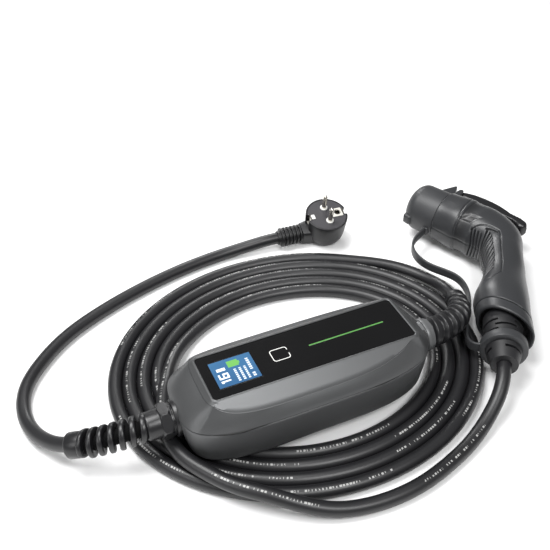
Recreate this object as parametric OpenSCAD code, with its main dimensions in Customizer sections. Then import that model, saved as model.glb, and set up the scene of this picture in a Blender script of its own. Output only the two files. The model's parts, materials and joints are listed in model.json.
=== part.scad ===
// Portable electric-vehicle charger: a control box with a display, a supply lead with an earthed
// mains plug, a coiled charging cable and a vehicle connector with a tethered dust cap.
// Millimetres, +Z up, +X along the control box from its supply gland to its outlet.

/* [Control box] */
// Length from the middle of the box to its supply end
box_supply_l = 108; // [90:1:130]
// Length from the middle of the box to its outlet end
box_outlet_l = 112; // [95:1:135]
// Width across the long sides
box_w = 92; // [86:1:104]
// Width of the underside
base_w = 82; // [76:1:84]
// Width across the crests of the shoulders
crest_w = 82; // [76:1:84]
// Height from the underside to the panel rim
box_h = 58; // [50:1:70]
// Height of the parting line above the underside
parting_h = 38; // [37:0.5:41]
// Height of the glands above the underside
gland_z = 26; // [23:0.5:27]
// Wall of both housings
wall = 2.6; // [2:0.1:3.5]
// Thickness of the seal in the parting line
seal_t = 1.4; // [1:0.1:2.5]
// Drop of the sloped shoulders beside the panel, as a share of the upper housing's height
shoulder_share = 0.5; // [0.35:0.05:0.6]
// Rounding of the shoulders outside their crests, as a share of the same height
shoulder_round = 0.25; // [0.15:0.05:0.3]
// Radius along the lower edges
base_r = 9; // [4:0.5:12]
// Bluntness of the supply end, 2 is an ellipse
supply_blunt = 4.5; // [3:0.1:6]
// Bluntness of the outlet end, 2 is an ellipse
outlet_blunt = 2.6; // [2:0.1:4]

/* [Panel] */
// Length of the glossy panel
panel_l = 178; // [150:1:190]
// Width of the glossy panel
panel_w = 47; // [40:1:56]
// Thickness of the panel
panel_t = 1.6; // [1:0.1:2.4]
// Corner radius of the panel
panel_r = 3; // [1:0.5:8]
// Rim of the upper housing around the panel
panel_rim = 2.4; // [1.5:0.1:4]
// Length of the display
display_l = 36; // [30:1:50]
// Width of the display
display_w = 29; // [20:1:34]
// Distance from the panel's supply end to the display
display_edge = 8; // [4:1:16]
// Length of the status light line
light_l = 69; // [50:1:90]
// Width of the status light line
light_w = 1.2; // [1:0.2:4]
// Radius of the touch sensor
touch_r = 8; // [5:0.5:10]

/* [Electronics] */
// Length of the main board
board_l = 150; // [120:1:160]
// Width of the main board
board_w = 52; // [40:1:56]
// Thickness of the main board
board_t = 1.6; // [1:0.2:2.4]
// Height of the board's posts above the inner floor
post_h = 7; // [5:0.5:10]
// Height of the power relays
relay_h = 18; // [12:1:20]

/* [Cables] */
// Diameter of the charging cable and the supply lead
cable_d = 12.5; // [10:0.5:13]
// Half length of the coil, to the middle of its outer turn
coil_a = 161; // [150:1:170]
// Half width of the coil, to the middle of its outer turn
coil_b = 139; // [130:1:150]
// Turns that lie side by side
coil_turns = 5; // [4:1:6]
// Play between neighbouring turns
coil_play = 0.1; // [0:0.05:0.5]

/* [Glands] */
// Width across flats of the gland body
gland_af = 24; // [20:1:26]
// Length of the gland body's hexagon
gland_hex_l = 9; // [6:1:12]
// Width across flats of the cap nut
nut_af = 26; // [24:1:26]
// Length of the cap nut
nut_l = 27; // [20:1:32]
// Radius of the gland thread through the wall
thread_r = 9; // [8.5:0.1:10]
// Turns of the spiral kink guard
spiral_turns = 6; // [4:1:8]
// Thickness of the spiral
spiral_t = 4.4; // [2.4:0.1:4.5]
// Radius of the outlet collar
collar_r = 15; // [13:0.5:17]
// Length of the outlet collar
collar_l = 12; // [8:1:16]
// Radius of the outlet boot at the collar
boot_r = 12.5; // [12:0.5:15]

/* [Mains plug] */
// Radius of the plug body
plug_r = 22; // [20:0.5:24]
// Depth of the plug behind its face
plug_h = 36; // [30:1:42]
// Radius of the domed back
plug_dome = 40; // [30:1:60]
// Radius of a mains pin
pin_r = 2.4; // [2:0.1:2.6]
// Length of a mains pin in front of the face
pin_l = 19; // [17:0.5:20]
// Distance between the mains pins
pin_gap = 19; // [18:0.5:20]
// Lean of the plug on its domed back, in degrees
plug_tilt = 13; // [0:1:20]

/* [Vehicle connector] */
// Radius of the connector nose that enters the inlet
nose_r = 22; // [20:0.5:23]
// Length of the nose in front of its flange
nose_l = 30; // [28:1:31]
// Reach of the nose in front of the latch tooth
nose_tip = 18; // [16:1:20]
// Length of the tapered housing behind the flange
nose_back_l = 26; // [22:1:30]
// Radius of the body at the flange
flange_r = 26; // [25:0.5:27]
// Half width of the body behind the nose
body_r = 29; // [28:0.5:31]
// Wall of the connector shells
shell_t = 2.8; // [2:0.1:3.5]
// Angle between the nose and the handle, in degrees
handle_angle = 119; // [115:1:126]
// Length of the handle from the bend to its end
handle_l = 107; // [98:1:116]
// Half depth of the handle at the grip
grip_r = 21; // [19:0.5:23]
// Half depth of the handle's flared end
flare_r = 27; // [25:0.5:28.5]
// Radius of the bend from nose to handle
bend_r = 46; // [42:1:52]
// Length of the tail ring
tail_l = 26; // [20:1:30]
// Length of the strain relief
relief_l = 46; // [38:1:50]
// Radius of the strain relief at the handle
relief_r = 18; // [16:0.5:19]

/* [Latch and cap] */
// Half width of the release lever
lever_w = 7.5; // [6:0.5:8]
// Radius of the lever pin and the latch pin
pivot_r = 1.5; // [1.2:0.1:1.8]
// Running clearance of a pivot, on the radius
pivot_play = 0.05; // [0.02:0.01:0.1]
// Height of the latch tooth above its arm
tooth_h = 11; // [8:0.5:12]
// Half width of the latch arm
arm_w = 5; // [4:0.5:5.5]
// Clearance between the dust cap and the nose
cap_gap = 0.35; // [0.2:0.05:0.6]
// Wall of the dust cap
cap_t = 3; // [2:0.1:3.5]
// Width of the flat tether strap
strap_w = 9; // [7:0.5:11]
// Thickness of the tether strap
strap_t = 2.6; // [2:0.1:3.5]

/* [Hidden] */
$fn = 48;
cable_r = cable_d / 2;
// Small gap between neighbours that rest on each other
rest = 0.3;
// Middle of the control box and height of its underside, which lies on the coil
box_at = [-53, -68, cable_d + rest];
// Middle of the coil on the floor
coil_at = [-36, -25];
coil_turn = -6;
// Nose axis of the connector at the cap rim, and its turn on the floor
gun_at = [181, 98, body_r];
gun_turn = 116;
// Resting point of the plug and its turn on the floor
plug_at = [69, 133];
plug_turn = -5;
outline_n = 96;
out = 2;
lip = panel_w / 2 + panel_rim;
roof_z = box_h - panel_t - wall;
board_z = wall + post_h;
board_top = board_z + board_t;
end_drop = 9;
bow_drop = 20;
fit = 0.2;
screw_r = 1.6;
head_r = 3;
boss_r = 4.6;
boss_x = 90;
boss_y = 17;
post_x = board_l / 2 - 6;
post_y = board_w / 2 - 6;

// Colours of the finishes
c_shell = [0.42, 0.43, 0.45];
c_lower = [0.34, 0.35, 0.37];
c_black = [0.08, 0.08, 0.09];
c_rubber = [0.13, 0.13, 0.14];
c_gun = [0.26, 0.26, 0.28];
c_collar = [0.62, 0.63, 0.64];
c_metal = [0.78, 0.76, 0.70];
c_board = [0.10, 0.32, 0.18];
c_part = [0.16, 0.18, 0.22];
c_blue = [0.20, 0.45, 0.75];
c_green = [0.42, 0.75, 0.35];
c_white = [0.92, 0.92, 0.90];
c_brass = [0.75, 0.62, 0.35];

// Route of the supply lead from the spiral's end to the plug
lead_route = [
  [-257, -42, 21], [-266, -29, 15], [-273, -13, 10], [-277, 6, 6.6], [-276, 26, 6.4],
  [-269, 46, 6.4], [-256, 64, 6.4], [-239, 81, 6.4], [-219, 96, 6.4], [-195, 109, 6.4],
  [-167, 121, 6.4], [-135, 132, 6.4], [-101, 141, 6.4], [-67, 147, 6.4], [-35, 149, 7.5],
  [-11, 147, 10.5]
];
// Route of the charging cable from the outlet boot over the coil and down beside it
start_route = [
  [132, -9, 16.5], [134, 6, 11.5], [131, 22, 8], [123, 40, 6.4], [111, 56, 6.4], [95, 70, 6.4]
];
// Route of the charging cable from the top of the coil to the connector
end_route = [
  [-153, -12, 18.9], [-166, -32, 18.9], [-173, -52, 18.9], [-175, -72, 18.9], [-171, -92, 18.9],
  [-160, -112, 18.9], [-144, -133, 18.9], [-124, -151, 18.6], [-103, -166, 14], [-81, -177, 9],
  [-57, -183, 6.6], [-29, -185, 6.4], [-1, -182, 6.4], [25, -175, 6.4], [47, -167, 6.6],
  [66, -158, 9], [82, -149, 14.5], [95, -140, 21.5], [104, -131, 27]
];
// Path of the tether strap from the cap to its ring on the strain relief
strap_route = [
  [147, 76, 20], [139, 70, 19], [133, 60, 18], [131, 47, 18], [134, 33, 18], [143, 18, 18],
  [150, 2, 18], [149, -13, 17], [142, -28, 17], [133, -41, 17], [123, -53, 18], [113, -65, 20],
  [105, -78, 23], [104, -88, 26], [110, -95, 29]
];

// General shapes

function unit(v) = v / norm(v);
function mix(a, b, t) = a + (b - a) * t;
// Piecewise straight reading of a table of [place, value] rows
function table(rows, x, i = 0) =
  x <= rows[0][0] ? rows[0][1]
  : i >= len(rows) - 1 ? rows[len(rows) - 1][1]
  : x > rows[i + 1][0] ? table(rows, x, i + 1)
  : mix(rows[i][1], rows[i + 1][1], smooth((x - rows[i][0]) / (rows[i + 1][0] - rows[i][0])));
function smooth(t) = t * t * (3 - 2 * t);
// Direction of a route at one of its points
function along(path, i) = unit(path[min(i + 1, len(path) - 1)] - path[max(i - 1, 0)]);
// Two directions square to a route, the first one level
function side(d) = unit(cross(d, [0, 0, 1]));
function rise(d) = cross(side(d), d);

// Solid through rings of equal count, closed by flat ends
module skin(rings) {
  n = len(rings[0]);
  m = len(rings);
  faces = concat(
    [[for (j = [n - 1 : -1 : 0]) j]],
    [for (i = [0 : m - 2]) for (j = [0 : n - 1])
      [i * n + j, i * n + (j + 1) % n, (i + 1) * n + (j + 1) % n, (i + 1) * n + j]],
    [[for (j = [0 : n - 1]) (m - 1) * n + j]]
  );
  polyhedron([for (r = rings) for (p = r) p], faces, convexity = 10);
}

// Round tube solid along a route
module cord(path, r, sides = 10) {
  skin([for (i = [0 : len(path) - 1])
    let (d = along(path, i), s = side(d), u = rise(d))
    [for (a = [0 : 360 / sides : 359]) path[i] + r * (cos(a) * s + sin(a) * u)]]);
}

module x_cylinder(r, x0, x1) {
  translate([min(x0, x1), 0, 0]) rotate([0, 90, 0]) cylinder(r = r, h = abs(x1 - x0));
}

// Hexagon along X with flats above and below
module x_hexagon(af, x0, x1) {
  translate([min(x0, x1), 0, 0]) rotate([0, 90, 0]) rotate(30)
    cylinder(d = af / cos(30), h = abs(x1 - x0), $fn = 6);
}

module block(lo, hi) {
  translate(lo) cube(hi - lo);
}

// Control box

module at_box() {
  translate(box_at) children();
}

function power(c, e) = sign(c) * pow(abs(c), e);
// Outline from above: a superellipse that is blunt at the supply end and finer at the outlet end
function box_outline(inset) = [for (i = [0 : outline_n - 1])
  let (a = i * 360 / outline_n, c = cos(a), s = sin(a))
  let (half = (c > 0 ? box_outlet_l : box_supply_l) - inset)
  let (e = 2 / (c > 0 ? outlet_blunt : supply_blunt))
  [half * power(c, e), (box_w / 2 + out - inset) * power(s, e)]];

// One half of the section across: rounded below, widest at the parting line, then over the shoulder
// and up a flat slope to the panel rim
shoulder_drop = (box_h - parting_h) * shoulder_share;
shoulder_r = (box_h - parting_h) * shoulder_round;
function half_across(inset) =
  let (h = box_w / 2 - inset, b = base_w / 2 - inset, r = base_r - inset / 2)
  let (crest = crest_w / 2 - inset / 2, z = box_h - shoulder_drop - inset)
  concat(
    [for (a = [270 : 15 : 360]) [b - r + r * cos(a), inset + r + r * sin(a)]],
    [[h, parting_h]],
    [for (a = [0 : 15 : 90]) [mix(crest, h, cos(a)), z - shoulder_r + shoulder_r * sin(a)]],
    [[lip - inset / 2, box_h - inset]]
  );
function across(inset) =
  let (half = half_across(inset))
  concat(half, [for (i = [len(half) - 1 : -1 : 0]) [-half[i][0], half[i][1]]]);

// Section along: the ends are rounded below and bevelled above
function lengthwise(inset) =
  let (b = box_outlet_l + out - inset, s = -box_supply_l - out + inset, r = base_r - inset / 2)
  let (x1 = panel_l / 2 + 4, x0 = -panel_l / 2 - 6)
  concat(
    [for (a = [270 : 15 : 360]) [b - r + r * cos(a), inset + r + r * sin(a)]],
    [[b, box_h - bow_drop - inset], [x1, box_h - inset]],
    [[x0, box_h - inset], [s, box_h - end_drop - inset]],
    [for (a = [180 : 15 : 270]) [s + r + r * cos(a), inset + r + r * sin(a)]]
  );

module envelope(inset) {
  length = box_supply_l + box_outlet_l + 40;
  intersection() {
    linear_extrude(box_h) polygon(box_outline(inset));
    rotate([90, 0, 90]) linear_extrude(length, center = true) polygon(across(inset));
    rotate([90, 0, 0]) linear_extrude(length, center = true) polygon(lengthwise(inset));
  }
}

module slab(z0, z1) {
  block([-box_supply_l - 9, -box_w, z0], [box_outlet_l + 9, box_w, z1]);
}

module boss_places() {
  for (x = [-boss_x, boss_x]) for (y = [-boss_y, boss_y]) translate([x, y, 0]) children();
}

module post_places() {
  for (x = [-post_x, post_x]) for (y = [-post_y, post_y]) translate([x, y, 0]) children();
}

// Holes for the thread of the gland at one end and of the outlet at the other
module gland_holes() {
  translate([0, 0, gland_z]) {
    x_cylinder(thread_r + fit, -box_supply_l - 5, -box_supply_l + 12);
    x_cylinder(thread_r + fit, box_outlet_l - 14, box_outlet_l + 5);
  }
}

// Flat seat for the outlet's lock nut inside the curved end
seat_x = box_outlet_l - wall - 4;
module nut_seat() {
  intersection() {
    translate([0, 0, gland_z]) x_cylinder(thread_r + 5, seat_x, box_outlet_l);
    envelope(wall / 2);
    slab(0, parting_h - seal_t / 2);
  }
}

module lower_housing() {
  top = parting_h - seal_t / 2;
  color(c_lower) at_box() difference() {
    union() {
      difference() {
        intersection() {
          envelope(0);
          slab(0, top);
        }
        envelope(wall);
      }
      nut_seat();
      boss_places() translate([0, 0, wall / 2]) cylinder(r = boss_r, h = top - wall / 2);
      post_places() translate([0, 0, wall / 2]) cylinder(r = 3.6, h = board_z - wall / 2);
    }
    boss_places() translate([0, 0, -1]) cylinder(r = screw_r + fit, h = box_h);
    boss_places() translate([0, 0, -1]) cylinder(r = head_r + fit, h = 1 + 4);
    post_places() translate([0, 0, wall]) cylinder(r = 1.2, h = box_h);
    gland_holes();
  }
}

// Openings in the roof under the panel
display_x = -panel_l / 2 + display_edge + display_l / 2;
touch_x = display_x + display_l / 2 + 22;
touch_y = 1.5;
light_edge = 17.5;
light_x = panel_l / 2 - light_edge - light_l / 2;
light_y = 1;

module display_shape(grow) {
  translate([display_x - display_l / 2 - grow, -display_w / 2 - grow])
    square([display_l + 2 * grow, display_w + 2 * grow]);
}

module light_shape(grow) {
  translate([light_x - light_l / 2 - grow, light_y - light_w / 2 - grow])
    square([light_l + 2 * grow, light_w + 2 * grow]);
}

module panel_shape(grow) {
  x = panel_l / 2 - panel_r;
  y = panel_w / 2 - panel_r;
  hull() for (i = [-x, x]) for (j = [-y, y]) translate([i, j]) circle(panel_r + grow, $fn = 32);
}

module upper_housing() {
  low = parting_h + seal_t / 2;
  color(c_shell) at_box() difference() {
    union() {
      difference() {
        intersection() {
          envelope(0);
          slab(low, box_h);
        }
        intersection() {
          envelope(wall);
          slab(0, roof_z);
        }
      }
      boss_places() translate([0, 0, low]) cylinder(r = boss_r, h = roof_z - low + 1);
    }
    translate([0, 0, box_h - panel_t]) linear_extrude(5) panel_shape(fit);
    translate([touch_x, touch_y, box_h - panel_t - 1]) cylinder(r = touch_r + fit, h = 3);
    translate([0, 0, roof_z - 1]) linear_extrude(9) display_shape(fit);
    translate([0, 0, roof_z - 1]) linear_extrude(9) light_shape(fit);
    boss_places() translate([0, 0, low - 1]) cylinder(r = screw_r - fit, h = 15);
  }
}

module housing_seal() {
  color(c_rubber) at_box() difference() {
    intersection() {
      envelope(0.8);
      slab(parting_h - seal_t / 2, parting_h + seal_t / 2);
    }
    envelope(wall);
  }
}

module front_panel() {
  color(c_black) at_box() translate([0, 0, box_h - panel_t]) linear_extrude(panel_t) difference() {
    panel_shape(0);
    display_shape(fit);
    light_shape(fit);
  }
}

module display_module() {
  color(c_blue) at_box() {
    translate([0, 0, roof_z]) linear_extrude(wall + panel_t) display_shape(0);
    translate([0, 0, roof_z - 4]) linear_extrude(4) display_shape(3);
  }
}

module touch_sensor() {
  color(c_white) at_box() translate([touch_x, touch_y, box_h - panel_t - 1])
    cylinder(r = touch_r, h = 1);
}

module status_light() {
  color(c_green) at_box() {
    translate([0, 0, roof_z]) linear_extrude(wall + panel_t) light_shape(0);
    translate([0, 0, roof_z - 2]) linear_extrude(2) light_shape(1.5);
  }
}

module main_board() {
  color(c_board) at_box() translate([0, 0, board_z]) linear_extrude(board_t) difference() {
    square([board_l, board_w], center = true);
    post_places() circle(1.7);
  }
}

module power_relays() {
  color(c_part) at_box() for (y = [-13, 13])
    block([14, y - 10, board_top], [14 + 30, y + 10, board_top + relay_h]);
}

module current_sensor() {
  ring_r = 11;
  color(c_black) at_box() translate([-46, 0, board_top]) difference() {
    cylinder(r = ring_r, h = 11);
    translate([0, 0, 2]) cylinder(r = ring_r - 5, h = 11);
  }
}

module power_transformer() {
  color(c_brass) at_box() {
    block([-26, -12, board_top], [-2, 12, board_top + 6]);
    block([-23, -9, board_top + 6], [-5, 9, board_top + 15]);
  }
}

module capacitors() {
  color(c_part) at_box() for (y = [-18, 18]) translate([4, y, board_top]) cylinder(r = 4.5, h = 14);
}

module terminal_block() {
  color(c_board) at_box() difference() {
    block([54, -16, board_top], [66, 16, board_top + 11]);
    for (i = [-2 : 2]) translate([0, i * 6, board_top + 6]) x_cylinder(2, 60, 69);
  }
}

module board_screws() {
  color(c_metal) at_box() post_places() {
    translate([0, 0, board_top]) cylinder(r = 2.6, h = 1.6, $fn = 24);
    translate([0, 0, board_top - 6]) cylinder(r = 1.15, h = 6, $fn = 24);
  }
}

module housing_screws() {
  color(c_metal) at_box() boss_places() {
    difference() {
      translate([0, 0, 1.6]) cylinder(r = head_r, h = 2.4);
      translate([0, 0, 1]) cylinder(r = 1.4, h = 2, $fn = 6);
    }
    translate([0, 0, 3.9]) cylinder(r = screw_r - fit - 0.05, h = parting_h + 6);
  }
}

// Supply gland

gland_x = -box_supply_l;
washer_t = 1.6;
hex_x = gland_x - washer_t;
nut_x = hex_x - gland_hex_l;
spiral_x = nut_x - nut_l;
lock_l = 5;
sleeve_l = 11;

module at_gland() {
  at_box() translate([0, 0, gland_z]) children();
}

module gland_washer() {
  color(c_rubber) at_gland() difference() {
    x_cylinder(gland_af / 2 + 1.4, gland_x, hex_x);
    x_cylinder(thread_r + fit, gland_x + 1, hex_x - 1);
  }
}

module gland_body() {
  color(c_black) at_gland() difference() {
    union() {
      intersection() {
        x_hexagon(gland_af, hex_x, nut_x);
        translate([hex_x, 0, 0]) rotate([0, -90, 0])
          cylinder(r1 = gland_af / 2 + 3.5, r2 = gland_af / 2 + 0.2, h = gland_hex_l);
      }
      x_cylinder(thread_r, hex_x, gland_x + wall + lock_l + 1);
      x_cylinder(thread_r + 1, nut_x + 1, nut_x - 12);
    }
    x_cylinder(cable_r + 0.2, nut_x - 20, gland_x + 30);
    x_cylinder(cable_r + 1.9, nut_x - 3, nut_x - 20);
  }
}

module gland_seal() {
  color(c_rubber) at_gland() difference() {
    x_cylinder(cable_r + 1.8, nut_x - 3, nut_x - 14);
    x_cylinder(cable_r + 0.1, nut_x, nut_x - 20);
  }
}

module locknut(x0, x1) {
  difference() {
    x_hexagon(2 * thread_r + 6, x0, x1);
    x_cylinder(thread_r + 0.1, x0 - 5, x1 + 5);
  }
}

module gland_locknut() {
  color(c_black) at_gland() locknut(gland_x + wall + 0.5, gland_x + wall + lock_l);
}

// Middle line of the spiral: out of the nut, then down towards the floor
spiral_ends = [[spiral_x, 0, 0], [spiral_x - 26, 0, 0], [-180, 6, -6], [-196, 17, -12.8]];
function curve(p, t) =
  pow(1 - t, 3) * p[0] + 3 * pow(1 - t, 2) * t * p[1] + 3 * (1 - t) * t * t * p[2] + pow(t, 3) * p[3];
function heading(p, t) = unit(curve(p, min(t + 0.02, 1)) - curve(p, max(t - 0.02, 0)));

// Spiral wound round the lead: each ring is the section of the strip at one angle
module spiral_strip(p, turns, r, t0) {
  steps = turns * 14;
  skin([for (i = [0 : steps])
    let (t = t0 * i / steps, d = heading(p, t), s = side(d), u = rise(d), a = i * 360 / 14)
    let (o = cos(a) * s + sin(a) * u)
    [for (k = [0 : 45 : 315])
      curve(p, t) + (r + spiral_t / 2 * cos(k)) * o - spiral_t * 0.72 * sin(k) * d]]);
}

module spiral_nut() {
  tail = 0.86;
  d = heading(spiral_ends, 0.94);
  color(c_black) at_gland() {
    difference() {
      intersection() {
        x_hexagon(nut_af, nut_x - 0.5, spiral_x);
        translate([nut_x, 0, 0]) rotate([0, -90, 0])
          cylinder(r1 = nut_af / 2 + 1.6, r2 = nut_af / 2 - 1, h = nut_l + 1);
      }
      x_cylinder(thread_r + 1.1, nut_x + 5, nut_x - 15);
      x_cylinder(cable_r + 0.2, nut_x, spiral_x - 9);
    }
    spiral_strip(spiral_ends, spiral_turns, cable_r + 0.4 + spiral_t / 2, tail);
    translate(curve(spiral_ends, tail - 0.03)) rotate([0, acos(d[2]), atan2(d[1], d[0])]) difference() {
      cylinder(r = cable_r + 3.2, h = sleeve_l);
      translate([0, 0, -1]) cylinder(r = cable_r + 0.4, h = sleeve_l + 2);
    }
  }
}

// Outlet

outlet_x = box_outlet_l;
boot_x = outlet_x + collar_l;
boot_ends = [[boot_x + 0.15, 0, 0], [boot_x + 26, 0, 0], [174, 16, -9], [180, 45, -16.5]];

module outlet_collar() {
  color(c_collar) at_gland() difference() {
    union() {
      x_cylinder(collar_r, outlet_x - 1, boot_x);
      x_cylinder(collar_r + 2.2, outlet_x + 1.6, outlet_x + 4.6);
      block([outlet_x + 1.6, -6, -collar_r - 4], [outlet_x + 8, 6, -collar_r + 3]);
    }
    translate([0, 0, -gland_z]) envelope(-0.05);
    x_cylinder(cable_r + 0.2, outlet_x - 20, boot_x + 5);
  }
  color(c_collar) at_gland() difference() {
    x_cylinder(thread_r, seat_x - lock_l - 1, outlet_x + 1);
    x_cylinder(cable_r + 0.2, outlet_x - 20, boot_x + 5);
  }
}

module outlet_locknut() {
  color(c_black) at_gland() locknut(seat_x - lock_l, seat_x - 0.1);
}

// Boot with one raised spiral, thinner towards its end
module outlet_boot() {
  turns = 7;
  n = 20;
  steps = turns * 6;
  color(c_black) at_gland() difference() {
    skin([for (i = [0 : steps])
      let (t = i / steps, d = heading(boot_ends, t), s = side(d), u = rise(d))
      [for (j = [0 : n - 1])
        let (a = j * 360 / n, r = mix(boot_r, boot_r - 3, t) - 1.3 + 1.3 * cos(a - t * turns * 360))
        curve(boot_ends, t) + r * (cos(a) * s + sin(a) * u)]]);
    cord([for (t = [-0.02 : 0.07 : 1.05]) curve(boot_ends, t)], cable_r + 0.5, 16);
  }
}

// Mains plug, drawn with its face up and its cable towards -X

relief_z = 12;
plug_exit = -plug_r - 32;

// Place on the middle line of the plug's strain relief
function plug_point(x) =
  let (h = plug_dome - relief_z, y = h * sin(plug_tilt), z = plug_dome - h * cos(plug_tilt))
  let (c = cos(plug_turn), s = sin(plug_turn))
  [plug_at[0] + x * c - y * s, plug_at[1] + x * s + y * c, z];

module at_plug() {
  translate([plug_at[0], plug_at[1], plug_dome]) rotate([0, 0, plug_turn]) rotate([plug_tilt, 0, 0])
    translate([0, 0, -plug_dome]) children();
}

// Half section of the body: a domed back, a round shoulder and a shallow rim round the face
function plug_section() =
  let (dome_r = plug_r - 4, s0 = plug_dome - sqrt(plug_dome * plug_dome - dome_r * dome_r))
  concat(
    [for (i = [0 : 6]) let (r = dome_r * i / 6) [r, plug_dome - sqrt(plug_dome * plug_dome - r * r)]],
    [for (a = [-60 : 20 : 0]) [plug_r - 5 + 5 * cos(a), s0 + 5 + 5 * sin(a)]],
    [[plug_r, plug_h - 1], [plug_r - 1, plug_h], [plug_r - 3, plug_h]],
    [[plug_r - 3.5, face_z], [0, face_z]]
  );

face_z = plug_h - 1.2;
clip_x = plug_r - 1.5;

module plug_body() {
  color(c_rubber) at_plug() difference() {
    union() {
      rotate_extrude($fn = 72) polygon(plug_section());
      intersection() {
        block([-plug_r - 7, -9, 2], [-plug_r + 6, 9, 22]);
        translate([0, 0, relief_z]) rotate([0, -90, 0]) cylinder(r = 11, h = plug_r + 20);
      }
      translate([0, 0, relief_z]) x_cylinder(cable_r + 1.6, -plug_r, plug_exit);
      for (i = [0 : 4]) translate([0, 0, relief_z])
        x_cylinder(cable_r + 3.6 - 0.3 * i, -plug_r - 7 - 5 * i, -plug_r - 10 - 5 * i);
    }
    block([clip_x - 3, -4, 14], [plug_r + 3, 4, plug_h + 2]);
    block([-plug_r - 3, -4, 14], [3 - clip_x, 4, plug_h + 2]);
    pin_places() cylinder(r = pin_r + 1.6, h = 12);
    translate([12, 0, face_z - 14]) cylinder(r = 3.6, h = 20);
  }
}

// Foot of each mains pin, inside the body and its collar
pin_foot_r = pin_r - 0.2;
collar_h = 9.2;
module pin_places() {
  for (y = [-pin_gap / 2, pin_gap / 2]) translate([0, y, face_z - 8]) children();
}

module mains_pins() {
  color(c_metal) at_plug() pin_places() {
    cylinder(r = pin_foot_r, h = collar_h);
    translate([0, 0, collar_h]) cylinder(r = pin_r, h = 8 + pin_l - pin_r - collar_h);
    translate([0, 0, 8 + pin_l - pin_r]) intersection() {
      sphere(r = pin_r);
      cylinder(r = pin_r, h = pin_r);
    }
  }
}

module pin_collars() {
  color(c_white) at_plug() pin_places() difference() {
    cylinder(r = pin_r + 1.55, h = collar_h);
    translate([0, 0, -1]) cylinder(r = pin_foot_r + 0.02, h = 12);
  }
}

module earth_clips() {
  color(c_metal) at_plug() for (s = [-1, 1]) rotate(s > 0 ? 0 : 180) {
    block([clip_x - 2.8, -3.4, 14.2], [clip_x - 1.6, 3.4, face_z + 0.8]);
    translate([clip_x - 1.4, 0, 26]) rotate([90, 0, 0])
      cylinder(r = 1.4, h = 6, center = true, $fn = 32);
  }
}

module earth_socket() {
  color(c_metal) at_plug() translate([12, 0, face_z - 14]) difference() {
    cylinder(r = 3.55, h = 14.2);
    translate([0, 0, 2]) cylinder(r = 2.5, h = 20);
  }
}

// Cables

// Stretch of a cable inside its gland and along its kink guard
inside_l = 14;
function guarded(x, ends) =
  let (path = concat([[x, 0, 0]], [for (t = [0 : 0.125 : 1]) curve(ends, t)]))
  [for (p = path) box_at + [0, 0, gland_z] + p];

module supply_cord() {
  guard = guarded(gland_x + inside_l, spiral_ends);
  end = [plug_point(plug_exit - 9), plug_point(plug_exit)];
  color(c_rubber) cord(concat(guard, lead_route, end), cable_r);
}

module cable_start() {
  color(c_rubber) cord(concat(guarded(outlet_x - inside_l, boot_ends), start_route), cable_r);
}

module cable_end() {
  tail = [for (s = [relief_l, 0, 2 - tail_l]) gun_point(spine(spine_l) + s * spine_dir(spine_l))];
  color(c_rubber) cord(concat(end_route, tail), cable_r);
}

function ellipse(a, b) = [for (i = [0 : 71]) [a * cos(i * 5), b * sin(i * 5)]];

// Outer shape of the turns that lie side by side on the floor
module cable_coil() {
  pitch = cable_d + coil_play;
  inner = (coil_turns - 1) * pitch + cable_r;
  color(c_rubber) translate([coil_at[0], coil_at[1], 0]) rotate(coil_turn)
    linear_extrude(cable_d) difference() {
      polygon(ellipse(coil_a + cable_r, coil_b + cable_r));
      polygon(ellipse(coil_a - inner, coil_b - inner));
    }
}

// Vehicle connector, drawn with X forward along the nose and Y from the latch towards the handle

module at_gun() {
  translate(gun_at) rotate([0, 0, gun_turn]) children();
}

function gun_point(p) =
  let (c = cos(gun_turn), s = sin(gun_turn))
  gun_at + [p[0] * c - p[1] * s, p[0] * s + p[1] * c, p[2]];

// Turns a shape made along Z to point along +X
module along_nose() {
  rotate([0, 90, 0]) children();
}

bend = 180 - handle_angle;
corner_x = -79;
bend_x = corner_x + bend_r * tan(bend / 2);
back_x = -nose_back_l - 2;
body_l = back_x - bend_x;
arc_l = bend_r * bend * PI / 180;
spine_l = body_l + arc_l + handle_l;
ring_s = spine_l - tail_l;

// Point of the spine at a distance s behind the nose housing, and its direction
function turn_at(s) = s < body_l ? 0 : s < body_l + arc_l ? (s - body_l) / bend_r * 180 / PI : bend;
function spine_dir(s) = let (a = turn_at(s)) [-cos(a), sin(a), 0];
function spine(s) =
  s < body_l ? [back_x - s, 0, 0]
  : let (a = turn_at(s), p = [bend_x - bend_r * sin(a), bend_r - bend_r * cos(a), 0])
    s < body_l + arc_l ? p : p + (s - body_l - arc_l) * spine_dir(s);

// Half depth towards the palm, half depth towards the back, and half width of the body along the spine
h0 = body_l + arc_l;
heel_s = body_l + arc_l * 0.54;
flare_s = spine_l - 28;
palm_rows = [
  [0, body_r - 1], [body_l, body_r - 1], [h0, grip_r - 1], [h0 + 26, grip_r - 4],
  [flare_s, flare_r - 0.5], [spine_l, flare_r - 3]
];
back_rows = [
  [0, body_r - 1], [body_l, body_r - 1], [heel_s, body_r - 0.5], [h0, grip_r + 0.5],
  [h0 + 32, grip_r + 1.7], [flare_s, flare_r - 2.3], [spine_l, flare_r]
];
width_rows = [
  [0, body_r - 1], [body_l, body_r], [h0, grip_r + 3], [h0 + 32, grip_r], [flare_s, flare_r - 1],
  [spine_l, flare_r - 3]
];

// Shallow finger ridges on the inner side of the grip
ridge_from = h0 - 8;
ridge_to = h0 + 40;
ridge_step = 6;
function ridge(s) = s < ridge_from || s > ridge_to ? 0 : 1 - cos((s - ridge_from) * 360 / ridge_step);

// Lean of the sections towards the end of the handle, which is cut off at a slant
lean_from = h0 + 44;
function lean(s) = 0.33 * smooth(min(1, max(0, (s - lean_from) / (ring_s - lean_from))));

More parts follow.
